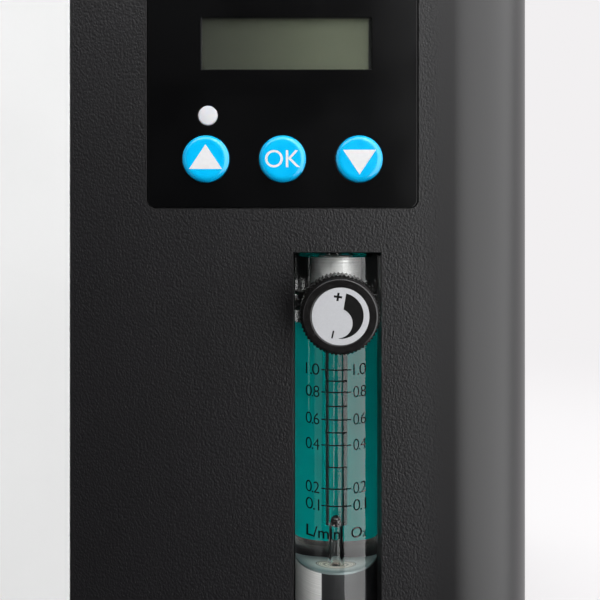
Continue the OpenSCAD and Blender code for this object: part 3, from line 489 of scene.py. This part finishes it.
def clear(name, colour, rough, ior, skin=2, depth=0.001):
    """A clear plastic or glass that shadow rays pass through. Skin and depth are in millimetres."""
    tree, shader = new_material(name, Transmission_Weight=1.0, IOR=ior, Metallic=0.0)
    patches = use(tree, GROUPS["mottle"], Size=12 * MM).outputs["Value"]
    tree.links.new(mixed(tree, patches, toned(colour, 0.985), toned(colour)), shader.inputs["Base Color"])
    tree.links.new(ramped(tree, patches, 0, 1, rough, rough * 1.6), shader.inputs["Roughness"])
    height = use(tree, GROUPS["moulded_skin"], Size=skin * MM).outputs["Height"]
    join_bump(tree, shader, height, depth * MM)
    seen = maths(tree, "SUBTRACT", 1.0, place(tree, "LightPath").outputs["Is Shadow Ray"])
    tree.links.new(maths(tree, "MAXIMUM", seen, CLEAR_SHADOW), shader.inputs["Alpha"])


def dark_cover_finish(looks):
    """Black cover: pebbled in front, smooth round the corner."""
    tree, shader = new_material("dark_shell", IOR=1.5)
    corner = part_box("right_housing")[1].x - looks.corner_radius
    grain = use(tree, GROUPS["pebbled_grain"], Size=looks.grain_size)
    grain.inputs["Fade start"].default_value = corner - 13 * MM
    grain.inputs["Fade end"].default_value = corner - 1 * MM
    patches = use(tree, GROUPS["mottle"], Size=30 * MM).outputs["Value"]
    veil = use(tree, GROUPS["settled_dust"], Amount=0.03).outputs["Mask"]
    tone = mixed(tree, patches, toned(looks.dark_colour, 0.85), toned(looks.dark_colour, 1.15))
    tree.links.new(mixed(tree, veil, tone, COVER_DUST), shader.inputs["Base Color"])
    rough = ramped(tree, grain.outputs["Mask"], 0, 1, looks.smooth_roughness, looks.grain_roughness)
    tree.links.new(rough, shader.inputs["Roughness"])
    skin = use(tree, GROUPS["moulded_skin"], Size=0.5 * MM).outputs["Height"]
    height = maths(tree, "ADD", grain.outputs["Height"], maths(tree, "MULTIPLY", skin, 0.08))
    join_bump(tree, shader, height, looks.grain_depth)


def display_finish():
    """Blank reflective display: a grey-green film with a fine cell pattern, and a painted reflection that
    lightens it to the right.
    """
    tree, shader = new_material("lcd_film", Roughness=0.35, IOR=1.45)
    low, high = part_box("lcd_glass")
    where = surface_point(tree)
    # Painted reflection: the film's colour lightens from left to right, as a reflected light would make it.
    across = ramped(tree, place(tree, "SeparateXYZ", Vector=where).outputs["X"], low.x, high.x)
    tone = mixed(tree, across, (0.045, 0.050, 0.037, 1), (0.135, 0.150, 0.104, 1))
    cell, gap = 0.6 * MM, 0.04 * MM
    cells = place(tree, "TexBrick", {"offset": 0.0}, Vector=where, Scale=1.0, Mortar_Size=gap,
                  Brick_Width=cell, Row_Height=cell, Color1=(1, 1, 1, 1),
                  Color2=(0.985, 0.985, 0.985, 1), Mortar=(0.93, 0.93, 0.93, 1))
    painted_reflection_film = mixed(tree, 1.0, tone, cells.outputs["Color"], "MULTIPLY")
    tree.links.new(painted_reflection_film, shader.inputs["Base Color"])


def board_finish():
    """Green circuit board with tracks under the lacquer."""
    tree, shader = new_material("board_green", Coat_Weight=0.4)
    tracks = place(tree, "TexVoronoi", {"distance": "MANHATTAN", "feature": "F1"},
                   Vector=surface_point(tree), Scale=320.0)
    line = ramped(tree, tracks.outputs["Distance"], 0.48, 0.52)
    lacquer = mixed(tree, line, (0.008, 0.085, 0.035, 1), (0.02, 0.16, 0.07, 1))
    tree.links.new(lacquer, shader.inputs["Base Color"])
    tree.links.new(ramped(tree, line, 0, 1, 0.35, 0.5), shader.inputs["Roughness"])
    join_bump(tree, shader, line, 0.03 * MM)


def plug_finish():
    """Bottom plug: a top turned in rings with painted light on it, a dark body, and painted light on its left
    side, coloured there as bright turned metal.
    """
    tree, shader = new_material("plug_black", IOR=1.5)
    axis = middle("bottom_plug")
    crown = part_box("bottom_plug")[1].z - axis.z
    local = vector_maths(tree, "SUBTRACT", surface_point(tree), tuple(axis)).outputs[0]
    parts = place(tree, "SeparateXYZ", Vector=local)
    out = length(tree, vector_maths(tree, "MULTIPLY", local, (1, 1, 0)).outputs[0])
    top = ramped(tree, parts.outputs["Z"], crown - 0.5 * MM, crown - 0.3 * MM)
    ring_pitch, line_pitch = 0.4 * MM, 0.3 * MM
    rings = banded(tree, maths(tree, "DIVIDE", out, ring_pitch), 1.0)
    inner = ramped(tree, out, 3.6 * MM, 3.9 * MM, 1, 0)  # the ringed middle of the top
    edge = maths(tree, "MULTIPLY", ramped(tree, out, 3.5 * MM, 3.65 * MM), inner)  # a dark line round it
    # Painted light: the ringed middle of the top is coloured much brighter than turned metal, standing in for
    # light that the clear body carries down onto it.
    ringed_painted_light = mixed(tree, ramped(tree, rings, 0.35, 0.65), (0.40, 0.34, 0.28, 1), (1.0, 0.93, 0.82, 1))
    outer = mixed(tree, ramped(tree, out, 3.7 * MM, 7.4 * MM), (0.60, 0.62, 0.60, 1), (0.20, 0.25, 0.25, 1))
    face = mixed(tree, edge, mixed(tree, inner, outer, ringed_painted_light), (0.05, 0.05, 0.05, 1))
    lines = banded(tree, maths(tree, "DIVIDE", parts.outputs["Z"], line_pitch), 1.0)
    # Painted light and shade: the side is coloured as bright turned metal on the left, as if lit, and near
    # black on the right.
    painted_lit_side = ramped(tree, parts.outputs["X"], -3.9 * MM, -3.6 * MM, 1, 0)
    painted_lit_turning = mixed(tree, lines, (0.60, 0.585, 0.57, 1), (0.92, 0.90, 0.88, 1))
    side = mixed(tree, painted_lit_side, (0.004, 0.004, 0.005, 1), painted_lit_turning)
    tree.links.new(mixed(tree, top, side, face), shader.inputs["Base Color"])
    tree.links.new(maths(tree, "MULTIPLY", top, 0.4), shader.inputs["Metallic"])
    tree.links.new(ramped(tree, top, 0, 1, 0.5, 0.42), shader.inputs["Roughness"])
    join_bump(tree, shader, maths(tree, "ADD", maths(tree, "MULTIPLY", top, rings), lines), 0.015 * MM)


def ribbon_finish():
    """Grey flat cable with its separate wires."""
    tree, shader = new_material("ribbon_grey")
    wires = place(tree, "TexWave", {"bands_direction": "X"}, Vector=surface_point(tree),
                  Scale=780.0).outputs["Fac"]
    tone = mixed(tree, wires, (0.30, 0.31, 0.33, 1), (0.48, 0.49, 0.51, 1))
    tree.links.new(tone, shader.inputs["Base Color"])
    tree.links.new(ramped(tree, wires, 0, 1, 0.5, 0.6), shader.inputs["Roughness"])
    join_bump(tree, shader, wires, 0.2 * MM)


def disc_finish():
    """Matt silver disc with a fine sprayed grain."""
    tree, shader = new_material("disc_silver", Metallic=0.35)
    specks = use(tree, GROUPS["moulded_skin"], Size=0.12 * MM).outputs["Height"]
    spray = ramped(tree, specks, 0.3, 0.7)
    tone = mixed(tree, spray, (0.53, 0.535, 0.56, 1), (0.62, 0.625, 0.65, 1))
    tree.links.new(tone, shader.inputs["Base Color"])
    tree.links.new(ramped(tree, specks, 0.3, 0.7, 0.45, 0.55), shader.inputs["Roughness"])
    join_bump(tree, shader, specks, 0.004 * MM)


def make_groups():
    """Build the shared effects once."""
    GROUPS.update({
        "mottle": group_mottle(), "moulded_skin": group_skin(), "pebbled_grain": group_grain(),
        "turning_marks": group_turned(), "settled_dust": group_dust(),
    })


def make_finishes(looks):
    """Every finish of the machine, by the slot that it fills."""
    moulded("light_shell", looks.light_colour, 0.42, patch=40, skin=0.35, depth=0.012, vary=0.012)
    dark_cover_finish(looks)
    moulded("grey_panel", (0.16, 0.165, 0.17), 0.5, patch=20, skin=0.4, depth=0.02, vary=0.08, dust=0.1)
    moulded("aluminium", (0.62, 0.63, 0.64), 0.32, patch=6, skin=0.3, depth=0.006, vary=0.08, Metallic=1.0)
    moulded("foot_rubber", (0.02, 0.02, 0.021), 0.75, patch=3, skin=0.3, depth=0.03, vary=0.25, dust=0.3)
    moulded("steel", (0.50, 0.50, 0.51), 0.28, patch=4, skin=0.2, depth=0.004, vary=0.1, Metallic=1.0)
    turned("chrome", (0.86, 0.86, 0.85), 0.62, "top_plug", (0, 0, 1), pitch=0.5, depth=0.02)
    turned("brass", (0.72, 0.52, 0.24), 0.25, "valve_bonnet", (0, 1, 0), pitch=0.3, depth=0.01)
    moulded("panel_black", looks.panel_colour, 0.22, patch=25, skin=0.25, depth=0.004, vary=0.2,
            Specular_IOR_Level=0.32)
    clear("window_clear", (0.93, 0.94, 0.92), 0.04, 1.49)
    moulded("module_black", (0.012, 0.012, 0.013), 0.45, patch=5, skin=0.3, depth=0.01)
    display_finish()
    moulded("lamp_white", (0.71, 0.70, 0.73), 0.45, patch=2, skin=0.2, depth=0.004, vary=0.02,
            Subsurface_Weight=0.3, Subsurface_Scale=0.002)
    moulded("key_blue", looks.key_colour, 0.22, patch=4, skin=0.3, depth=0.003, vary=0.05, Coat_Weight=0.3)
    board_finish()
    ribbon_finish()
    clear("acrylic", (0.975, 0.99, 0.985), 0.003, 1.49, skin=8, depth=0.0001)
    moulded("scale_teal", looks.scale_colour, 0.6, patch=9, skin=0.2, depth=0.002, vary=0.04,
            Specular_IOR_Level=0.0)
    plug_finish()
    moulded("knob_black", (0.006, 0.0055, 0.0055), 0.24, patch=2, skin=0.15, depth=0.004, vary=0.25)
    disc_finish()
    clear("door_clear", (0.93, 0.95, 0.96), 0.03, 1.49)
    moulded("white_plastic", (0.70, 0.70, 0.69), 0.4, patch=10, skin=0.3, depth=0.008, vary=0.03)
    clear("syringe_clear", (0.95, 0.96, 0.97), 0.06, 1.45)
    moulded("heater_orange", (0.60, 0.19, 0.04), 0.55, patch=4, skin=0.8, depth=0.03, vary=0.1)
    clear("tube_clear", (0.90, 0.93, 0.94), 0.12, 1.42)
    moulded("print_black", (0.006, 0.006, 0.006), 0.6, patch=1, skin=0.1, depth=0.002, vary=0.2,
            Specular_IOR_Level=0.1)
    moulded("ball_black", (0.008, 0.007, 0.007), 0.08, patch=1, skin=0.2, depth=0.0005, vary=0.2)
    moulded("print_white", (0.80, 0.80, 0.81), 0.4, patch=1, skin=0.1, depth=0.002, vary=0.02)


# What a user would change

class MachineLooks(bpy.types.PropertyGroup):
    """Sizes and colours of the machine's looks."""
    dark_colour: bpy.props.FloatVectorProperty(
        name="Dark cover", description="Colour of the right cover", subtype="COLOR",
        default=(0.0030, 0.0026, 0.0034))
    light_colour: bpy.props.FloatVectorProperty(
        name="Light cover", description="Colour of the left cover", subtype="COLOR",
        default=(0.86, 0.86, 0.86))
    panel_colour: bpy.props.FloatVectorProperty(
        name="Control panel", description="Colour of the control panel", subtype="COLOR",
        default=(0.0014, 0.0014, 0.0016))
    key_colour: bpy.props.FloatVectorProperty(
        name="Keys", description="Colour of the three keys", subtype="COLOR", default=(0.0, 0.52, 1.0))
    scale_colour: bpy.props.FloatVectorProperty(
        name="Scale card", description="Colour of the card behind the float's tube", subtype="COLOR",
        default=(0.0, 0.40, 0.37))
    grain_size: bpy.props.FloatProperty(
        name="Grain size", description="Distance between the pebbles of the dark cover", subtype="DISTANCE",
        unit="LENGTH", default=0.5 * MM)
    grain_depth: bpy.props.FloatProperty(
        name="Grain depth", description="Height of the pebbles of the dark cover", subtype="DISTANCE",
        unit="LENGTH", default=0.095 * MM)
    grain_roughness: bpy.props.FloatProperty(
        name="Grain roughness", description="Roughness of the pebbled front", subtype="FACTOR", default=0.40)
    smooth_roughness: bpy.props.FloatProperty(
        name="Corner roughness", description="Roughness of the smooth corner", subtype="FACTOR", default=0.36)
    corner_radius: bpy.props.FloatProperty(
        name="Corner radius", description="Radius of the dark cover's front corner, where the grain ends",
        subtype="DISTANCE", unit="LENGTH", default=26 * MM)
    cover_edge: bpy.props.FloatProperty(
        name="Cover edge", description="Radius of the covers' small edges", subtype="DISTANCE", unit="LENGTH",
        default=0.35 * MM)


class StageLooks(bpy.types.PropertyGroup):
    """The camera and the lights."""
    distance: bpy.props.FloatProperty(
        name="Camera distance", description="From the lens to the front of the covers", subtype="DISTANCE",
        unit="LENGTH", default=221 * MM)
    height: bpy.props.FloatProperty(
        name="Camera height", description="From the floor to the lens", subtype="DISTANCE",
        unit="LENGTH", default=157.8 * MM)
    across: bpy.props.FloatProperty(
        name="Camera place", description="From the machine's middle to the lens", subtype="DISTANCE",
        unit="LENGTH", default=36.6 * MM)
    lens: bpy.props.FloatProperty(name="Lens", description="Focal length on a 36 mm sensor", default=48.04)
    drop: bpy.props.FloatProperty(name="Shift", description="Vertical shift of the lens", default=-0.15)
    side_light: bpy.props.FloatProperty(
        name="Side light", description="Radiance of the large light on the right", default=3.0)
    top_light: bpy.props.FloatProperty(
        name="Top light", description="Radiance of the light overhead", default=2.7)
    left_light: bpy.props.FloatProperty(
        name="Left light", description="Radiance of the narrow light on the left", default=0.35)
    left_fill: bpy.props.FloatProperty(
        name="Left fill", description="Radiance of the light on the left side", default=1.1)
    rear_light: bpy.props.FloatProperty(
        name="Rear light", description="Radiance of the light behind", default=1.6)
    backdrop: bpy.props.FloatVectorProperty(
        name="Backdrop", description="Colour behind the machine", subtype="COLOR",
        default=(0.887, 0.871, 0.880))


# Operators

class MACHINE_OT_finishes(bpy.types.Operator):
    """Make the finishes and give every node its own"""
    bl_idname = "machine.finishes"
    bl_label = "Finishes"

    def execute(self, context):
        make_groups()
        make_finishes(context.scene.machine_looks)
        for name, obj in NODES.items():
            obj.data.materials.clear()
            obj.data.materials.append(FINISHES["ball_black" if name == "float_ball" else SLOT_OF[name]])
        return {"FINISHED"}


class MACHINE_OT_covers(bpy.types.Operator):
    """Round the small edges of the covers and of the pieces that show outside"""
    bl_idname = "machine.covers"
    bl_label = "Covers and outer pieces"

    def execute(self, context):
        looks = context.scene.machine_looks
        for node in ("left_housing", "right_housing"):
            eased_copy(node, looks.cover_edge, 3)
        edges = {"control_panel": 0.3, "rear_panel": 0.3, "base_plate": 0.3, "feet": 0.6, "bay_door": 0.4,
                 "door_pull": 0.4, "clamp_arm": 0.4, "clamp_post": 0.3, "syringe_cradle": 0.3,
                 "pusher_claw": 0.3, "switch_rocker": 0.3, "switch_body": 0.2, "dc_jack": 0.2,
                 "gas_ports": 0.2, "bay_tray": 0.3, "panel_screws": 0.15}
        for node, width in edges.items():
            eased_copy(node, width * MM)
        knob = eased_copy("valve_knob", 0)
        round_rim(knob, width=0.35 * MM, segments=4)
        smooth(knob, angle=20)
        return {"FINISHED"}


class MACHINE_OT_keys(bpy.types.Operator):
    """Domed keys with their symbols"""
    bl_idname = "machine.keys"
    bl_label = "Keys"

    def execute(self, context):
        mark_rises = {"up_key": 0.55 * MM, "ok_key": 0.0, "down_key": -0.95 * MM}
        for node, rise in mark_rises.items():
            self.cap(node)
            self.mark(node, rise)
        return {"FINISHED"}

    def cap(self, node):
        """A key with a rounded rim and a slightly raised face."""
        key = eased_copy(node, 0)
        round_rim(key, width=1.0 * MM, segments=5, profile=0.62)
        smooth(key, angle=40)
        flatten_shading(key, weight=60)

    def mark(self, node, rise):
        """The symbol on a key's face, raised from the key's middle."""
        face = Vector((middle(node).x, front(node), middle(node).z + rise))
        if node == "ok_key":
            mark = lettering("ok_key_mark", "OK", height=4.8 * MM, centre=face, width=9.6 * MM)
        else:
            mark = self.arrow(node + "_mark", wide=9.1 * MM, tall=6.8 * MM, face=face, up=node == "up_key")
        finish_piece(mark, node, "key_blue", FINISHES["print_white"])

    def arrow(self, name, wide, tall, face, up):
        """A flat triangle that faces -Y and points up or down, with its middle at the face's point."""
        mark = start("cylinder", name, vertices=3, radius=1, depth=2 * SKIN, location=(0, 0, 0))
        reach = tall / 1.5  # from the triangle's centre to its tip
        mark.scale = (wide / math.sqrt(3), reach, 1)
        mark.rotation_euler = (0, 0, 0 if up else TURN / 2)
        settle(mark, name)
        mark.location = (0, (-0.25 if up else 0.25) * reach, 0)
        settle(mark, name)
        mark.rotation_euler = (TURN / 4, 0, 0)
        mark.location = face
        settle(mark, name)
        round_edges(mark, 0.015 * MM, 1)
        return mark


class MACHINE_OT_lamp(bpy.types.Operator):
    """Domed status lamp"""
    bl_idname = "machine.lamp"
    bl_label = "Status lamp"

    def execute(self, context):
        low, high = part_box("status_lamp")
        radius = (high.z - low.z) / 2
        lamp = disc_blank("status_lamp_lens", radius, high.y - low.y, middle("status_lamp"), vertices=64)
        round_rim(lamp, width=0.12 * radius, segments=4)
        smooth(lamp, angle=40)
        finish_piece(lamp, "cabinet", "lamp_white", replaced=["status_lamp"])
        return {"FINISHED"}


class MACHINE_OT_meter(bpy.types.Operator):
    """Pieces pressed against the flowmeter's clear body, so that they show through it without an air gap"""
    bl_idname = "machine.meter"
    bl_label = "Flowmeter's card and plug faces"

    def execute(self, context):
        card_press, plug_press, end_gap = 0.3 * MM, 0.2 * MM, 0.1 * MM
        card = eased_copy("scale_backing", 0)
        edit_faces(card, facing_front)
        bpy.ops.transform.translate(value=(0, -card_press, 0))
        bpy.ops.object.mode_set(mode="OBJECT")
        body_low, body_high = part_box("flowmeter_body")
        bottom = (body_low.z + end_gap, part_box("bottom_plug")[1].z + plug_press)
        self.sleeve("bottom_plug_face", radius=7.75 * MM, bore=1.46 * MM, span=bottom, slot="plug_black")
        top = (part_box("top_plug")[0].z - plug_press, body_high.z - end_gap)
        self.sleeve("top_plug_face", radius=4.85 * MM, bore=2.45 * MM, span=top, slot="chrome")
        return {"FINISHED"}

    def sleeve(self, name, radius, bore, span, slot):
        """A sleeve round the ball's axis, from one height to another, with a hole for the bore."""
        axis, depth = middle("float_ball"), span[1] - span[0]
        centre = (axis.x, axis.y, (span[0] + span[1]) / 2)
        sleeve = disc_blank(name, radius, depth, centre, "Z")
        cut(sleeve, disc_blank("hole", bore, 2 * depth, centre, "Z", vertices=48))
        round_edges(sleeve, width=0.08 * MM, segments=2)
        smooth(sleeve)
        finish_piece(sleeve, "cabinet", slot)


class MACHINE_OT_scale(bpy.types.Operator):
    """Flow scale printed on the front of the clear body"""
    bl_idname = "machine.scale"
    bl_label = "Flow scale"

    def execute(self, context):
        body = "flowmeter_body"
        left_of_middle, in_front = 0.35 * MM, 1 * MM
        x, y = middle(body).x - left_of_middle, front(body) - in_front
        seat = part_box("float_ball")[0].z
        # Flows in litres a minute, and their heights above the ball's seat in millimetres
        numbered = {0.1: 8.7, 0.2: 13.4, 0.4: 25.3, 0.6: 32.3, 0.8: 39.8, 1.0: 45.9}
        between = {0.3: 19.3, 0.5: 28.8, 0.7: 36, 0.9: 42.9}
        long, short, thick, number_out = 8.2 * MM, 5.9 * MM, 0.36 * MM, 6.5 * MM
        lines, numbers = [], []
        for flow, height in sorted({**numbered, **between}.items()):
            z = seat + height * MM
            lines.append(bar("line", long if flow in numbered else short, thick, (x, y, z)))
            if flow in numbered:
                for across in (x - number_out, x + number_out):
                    numbers.append(lettering("number", f"{flow:.1f}", 3.15 * MM, (across, y, z),
                                             width=3.7 * MM, weight=-0.006, spacing=0.82))
        z = seat + 1.2 * MM
        unit_at, gas_at = (x - 3.6 * MM, y, z), (x + 5.6 * MM, y, z)
        index_at = (x + 7.8 * MM, y, z - 0.9 * MM)
        numbers.append(lettering("unit", "L/min", 3.1 * MM, unit_at, width=9.2 * MM, weight=0.012))
        numbers.append(lettering("gas", "O", 3.0 * MM, gas_at, weight=0.012))
        numbers.append(lettering("gas_index", "2", 1.6 * MM, index_at))
        print_on(body, "scale_teal", scale_lines=lines, scale_numbers=numbers)
        return {"FINISHED"}


class MACHINE_OT_knob(bpy.types.Operator):
    """Marks on the valve knob's disc: a crescent that grows towards the plus sign"""
    bl_idname = "machine.knob_marks"
    bl_label = "Knob marks"

    def execute(self, context):
        low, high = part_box("knob_disc")
        face = Vector((middle("knob_disc").x, low.y, middle("knob_disc").z))
        radius = (high.z - low.z) / 2

        def on_disc(across, up):
            """A point of the disc's face, in shares of its radius from its middle."""
            return face + Vector((across, 0, up)) * radius

        crescent = disc_blank("knob_crescent", 0.80 * radius, 2 * SKIN, on_disc(0, 0.025))
        cut(crescent, disc_blank("inner_edge", 0.522 * radius, 2 * MM, on_disc(-0.105, -0.24)))
        tilt, block = math.atan2(0.09, 0.55), 20 * MM
        left = Vector((-math.cos(tilt), 0, math.sin(tilt)))
        block_at = on_disc(0.108, 0.277) + left * block / 2
        cut(crescent, start("cube", "left_edge", size=block, location=block_at, rotation=(0, tilt, 0)))
        plus = lettering("knob_plus", "+", 0.29 * radius, on_disc(-0.092, 0.68), math.radians(-8),
                         weight=0.03)
        minus = lettering("knob_minus", "I", 0.277 * radius, on_disc(-0.275, -0.627), math.radians(-12),
                          width=0.058 * radius)
        for mark in (crescent, plus, minus):
            finish_piece(mark, "valve_knob", "knob_black", FINISHES["print_black"])
        return {"FINISHED"}


class MACHINE_OT_syringe(bpy.types.Operator):
    """Volume scale round the front of the syringe's barrel"""
    bl_idname = "machine.syringe_marks"
    bl_label = "Syringe scale"

    def execute(self, context):
        barrel, axis = "syringe_barrel", middle("syringe_plunger")
        in_front, first_mark = 13 * MM, 16 * MM
        x, y = axis.x, axis.y - in_front
        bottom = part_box(barrel)[0].z + first_mark
        spacing, thick, long, short = 5 * MM, 0.3 * MM, 6 * MM, 3.5 * MM
        lines, numbers = [], []
        for step in range(11):
            z = bottom + spacing * step
            if step % 2:
                lines.append(bar("line", short, thick, (x - (long - short) / 2, y, z)))
            else:
                lines.append(bar("line", long, thick, (x, y, z)))
                if step:
                    numbers.append(lettering("number", str(10 - step), 2.2 * MM, (x + 4.6 * MM, y, z)))
        print_on(barrel, "syringe_clear", syringe_lines=lines, syringe_numbers=numbers)
        return {"FINISHED"}


class MACHINE_OT_rear_marks(bpy.types.Operator):
    """Marks beside the switch, the power inlet and the gas ports"""
    bl_idname = "machine.rear_marks"
    bl_label = "Rear marks"

    def execute(self, context):
        face_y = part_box("rear_panel")[1].y
        switch, jack = middle("switch_body"), middle("dc_jack")
        low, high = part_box("gas_ports")
        port_r = (high.z - low.z) / 2
        small, large = 3.4 * MM, 4 * MM
        beside_switch, over_port, under_jack = switch.x - 13 * MM, high.z + 6 * MM, jack.z - 12 * MM
        marks = [
            self.mark("I", small, (beside_switch, face_y, switch.z + 5 * MM)),
            self.mark("O", small, (beside_switch, face_y, switch.z - 5 * MM)),
            self.mark("12 V", small, (jack.x, face_y, under_jack)),
            self.mark("O2 IN", large, (high.x - port_r, face_y, over_port)),
            self.mark("OUT", large, (low.x + port_r, face_y, over_port)),
        ]
        finish_piece(join("rear_marks", marks), "cabinet", "grey_panel", FINISHES["print_white"])
        return {"FINISHED"}

    def mark(self, text, height, centre):
        """Lettering that faces +Y."""
        obj = lettering("mark", text, height, (0, 0, 0), weight=0.01)
        obj.rotation_euler = (0, 0, TURN / 2)
        obj.location = centre
        return settle(obj, "mark")


class MACHINE_OT_stage(bpy.types.Operator):
    """Floor, backdrop, lights and camera"""
    bl_idname = "machine.stage"
    bl_label = "Stage"

    def execute(self, context):
        looks = context.scene.stage_looks
        self.world(context.scene, looks)
        self.floor(looks)
        front_y = front("right_housing")
        aim = Vector((20 * MM, front_y, 120 * MM))
        self.light("side_light", aim, azimuth=58, elevation=13, distance=1.0, size=(1.74, 2.2))
        self.light("left_light", aim, azimuth=-52, elevation=2, distance=1.0, size=(0.35, 2.2))
        self.light("top_light", aim, azimuth=-10, elevation=57, distance=1.1, size=(1.3, 0.8))
        self.light("left_fill", aim, azimuth=-106, elevation=12, distance=1.2, size=(1.3, 1.3))
        self.light("rear_light", aim, azimuth=200, elevation=40, distance=1.4, size=(1.2, 1.0))
        data = bpy.data.cameras.new("camera")
        camera = bpy.data.objects.new("camera", data)
        context.scene.collection.objects.link(camera)
        camera.location = (looks.across, front_y - looks.distance, looks.height)
        camera.rotation_euler = (TURN / 4, 0, 0)
        data.lens = looks.lens
        data.shift_y = looks.drop
        data.clip_start = 10 * MM
        context.scene.camera = camera
        context.scene.view_settings.view_transform = "Standard"
        return {"FINISHED"}

    def light(self, name, aim, azimuth, elevation, distance, size):
        """A soft rectangular light with the stage's radiance of its name.

        Azimuth 0 is in front and 90 on the right.
        """
        radiance = getattr(bpy.context.scene.stage_looks, name)
        data = bpy.data.lights.new(name, "AREA")
        data.shape = "RECTANGLE"
        data.size, data.size_y = size
        data.energy = radiance * math.pi * size[0] * size[1]
        obj = bpy.data.objects.new(name, data)
        bpy.context.scene.collection.objects.link(obj)
        turn, rise = math.radians(azimuth), math.radians(elevation)
        out = Vector((math.sin(turn) * math.cos(rise), -math.cos(turn) * math.cos(rise), math.sin(rise)))
        obj.location = aim + out * distance
        obj.rotation_euler = out.to_track_quat("Z", "Y").to_euler()
        obj.visible_camera = False

    def world(self, scene, looks):
        """A pale backdrop for the camera and a dim room for the light."""
        world = bpy.data.worlds.new("studio")
        world.use_nodes = True
        tree = world.node_tree
        ray = place(tree, "LightPath").outputs["Is Camera Ray"]
        direction = place(tree, "TexCoord").outputs["Generated"]
        back = place(tree, "SeparateXYZ", Vector=direction).outputs["Y"]
        pale = toned(looks.backdrop)
        room = mixed(tree, ramped(tree, back, 0.0, 0.35), (0.02, 0.02, 0.021, 1), pale)
        ground = tree.nodes["Background"]
        tree.links.new(mixed(tree, ray, room, pale), ground.inputs["Color"])
        scene.world = world

    def floor(self, looks):
        """A pale floor that takes shadows near the machine and runs out into the backdrop."""
        begin()
        bpy.ops.mesh.primitive_grid_add(x_subdivisions=8, y_subdivisions=8, size=60)
        floor = settle(bpy.context.object, "floor")
        tree, shader = new_material("floor", Roughness=0.9, Specular_IOR_Level=0.0, Emission_Strength=1.0)
        rays = place(tree, "LightPath").outputs
        ray = rays["Is Camera Ray"]
        far = ramped(tree, length(tree, surface_point(tree)), 0.2, 0.75)
        near = mixed(tree, far, (0.36, 0.355, 0.358, 1), (0, 0, 0, 1))
        tree.links.new(mixed(tree, ray, (0.03, 0.03, 0.03, 1), near), shader.inputs["Base Color"])
        glow = mixed(tree, far, toned(looks.backdrop, 0.55), toned(looks.backdrop))
        tree.links.new(mixed(tree, ray, (0, 0, 0, 1), glow), shader.inputs["Emission Color"])
        passing = maths(tree, "MAXIMUM", rays["Is Glossy Ray"], rays["Is Shadow Ray"])
        tree.links.new(maths(tree, "SUBTRACT", 1.0, passing), shader.inputs["Alpha"])
        floor.data.materials.append(FINISHES.pop("floor"))


class MACHINE_PT_sidebar(bpy.types.Panel):
    """Lists the machine's operators"""
    bl_label = "Anesthesia machine"
    bl_idname = "MACHINE_PT_sidebar"
    bl_space_type = "VIEW_3D"
    bl_region_type = "UI"
    bl_category = "Machine"

    def draw(self, context):
        for kind in OPERATORS:
            self.layout.operator(kind.bl_idname)
        for group in (context.scene.machine_looks, context.scene.stage_looks):
            for key in group.bl_rna.properties.keys():
                if key not in ("rna_type", "name"):
                    self.layout.prop(group, key)


OPERATORS = (MACHINE_OT_stage, MACHINE_OT_finishes, MACHINE_OT_covers, MACHINE_OT_keys, MACHINE_OT_lamp,
             MACHINE_OT_meter, MACHINE_OT_scale, MACHINE_OT_knob, MACHINE_OT_syringe, MACHINE_OT_rear_marks)
CLASSES = (MachineLooks, StageLooks, *OPERATORS, MACHINE_PT_sidebar)


def register():
    """Add the classes and the scene's settings."""
    for kind in CLASSES:
        bpy.utils.register_class(kind)
    bpy.types.Scene.machine_looks = bpy.props.PointerProperty(type=MachineLooks)
    bpy.types.Scene.stage_looks = bpy.props.PointerProperty(type=StageLooks)


def unregister():
    """Remove what register added."""
    del bpy.types.Scene.machine_looks
    del bpy.types.Scene.stage_looks
    for kind in reversed(CLASSES):
        bpy.utils.unregister_class(kind)


def main():
    """Build the looks in order."""
    register()
    bpy.ops.machine.stage()
    bpy.ops.machine.finishes()
    bpy.ops.machine.covers()
    bpy.ops.machine.keys()
    bpy.ops.machine.lamp()
    bpy.ops.machine.meter()
    bpy.ops.machine.scale()
    bpy.ops.machine.knob_marks()
    bpy.ops.machine.syringe_marks()
    bpy.ops.machine.rear_marks()


if __name__ == "__main__":
    main()
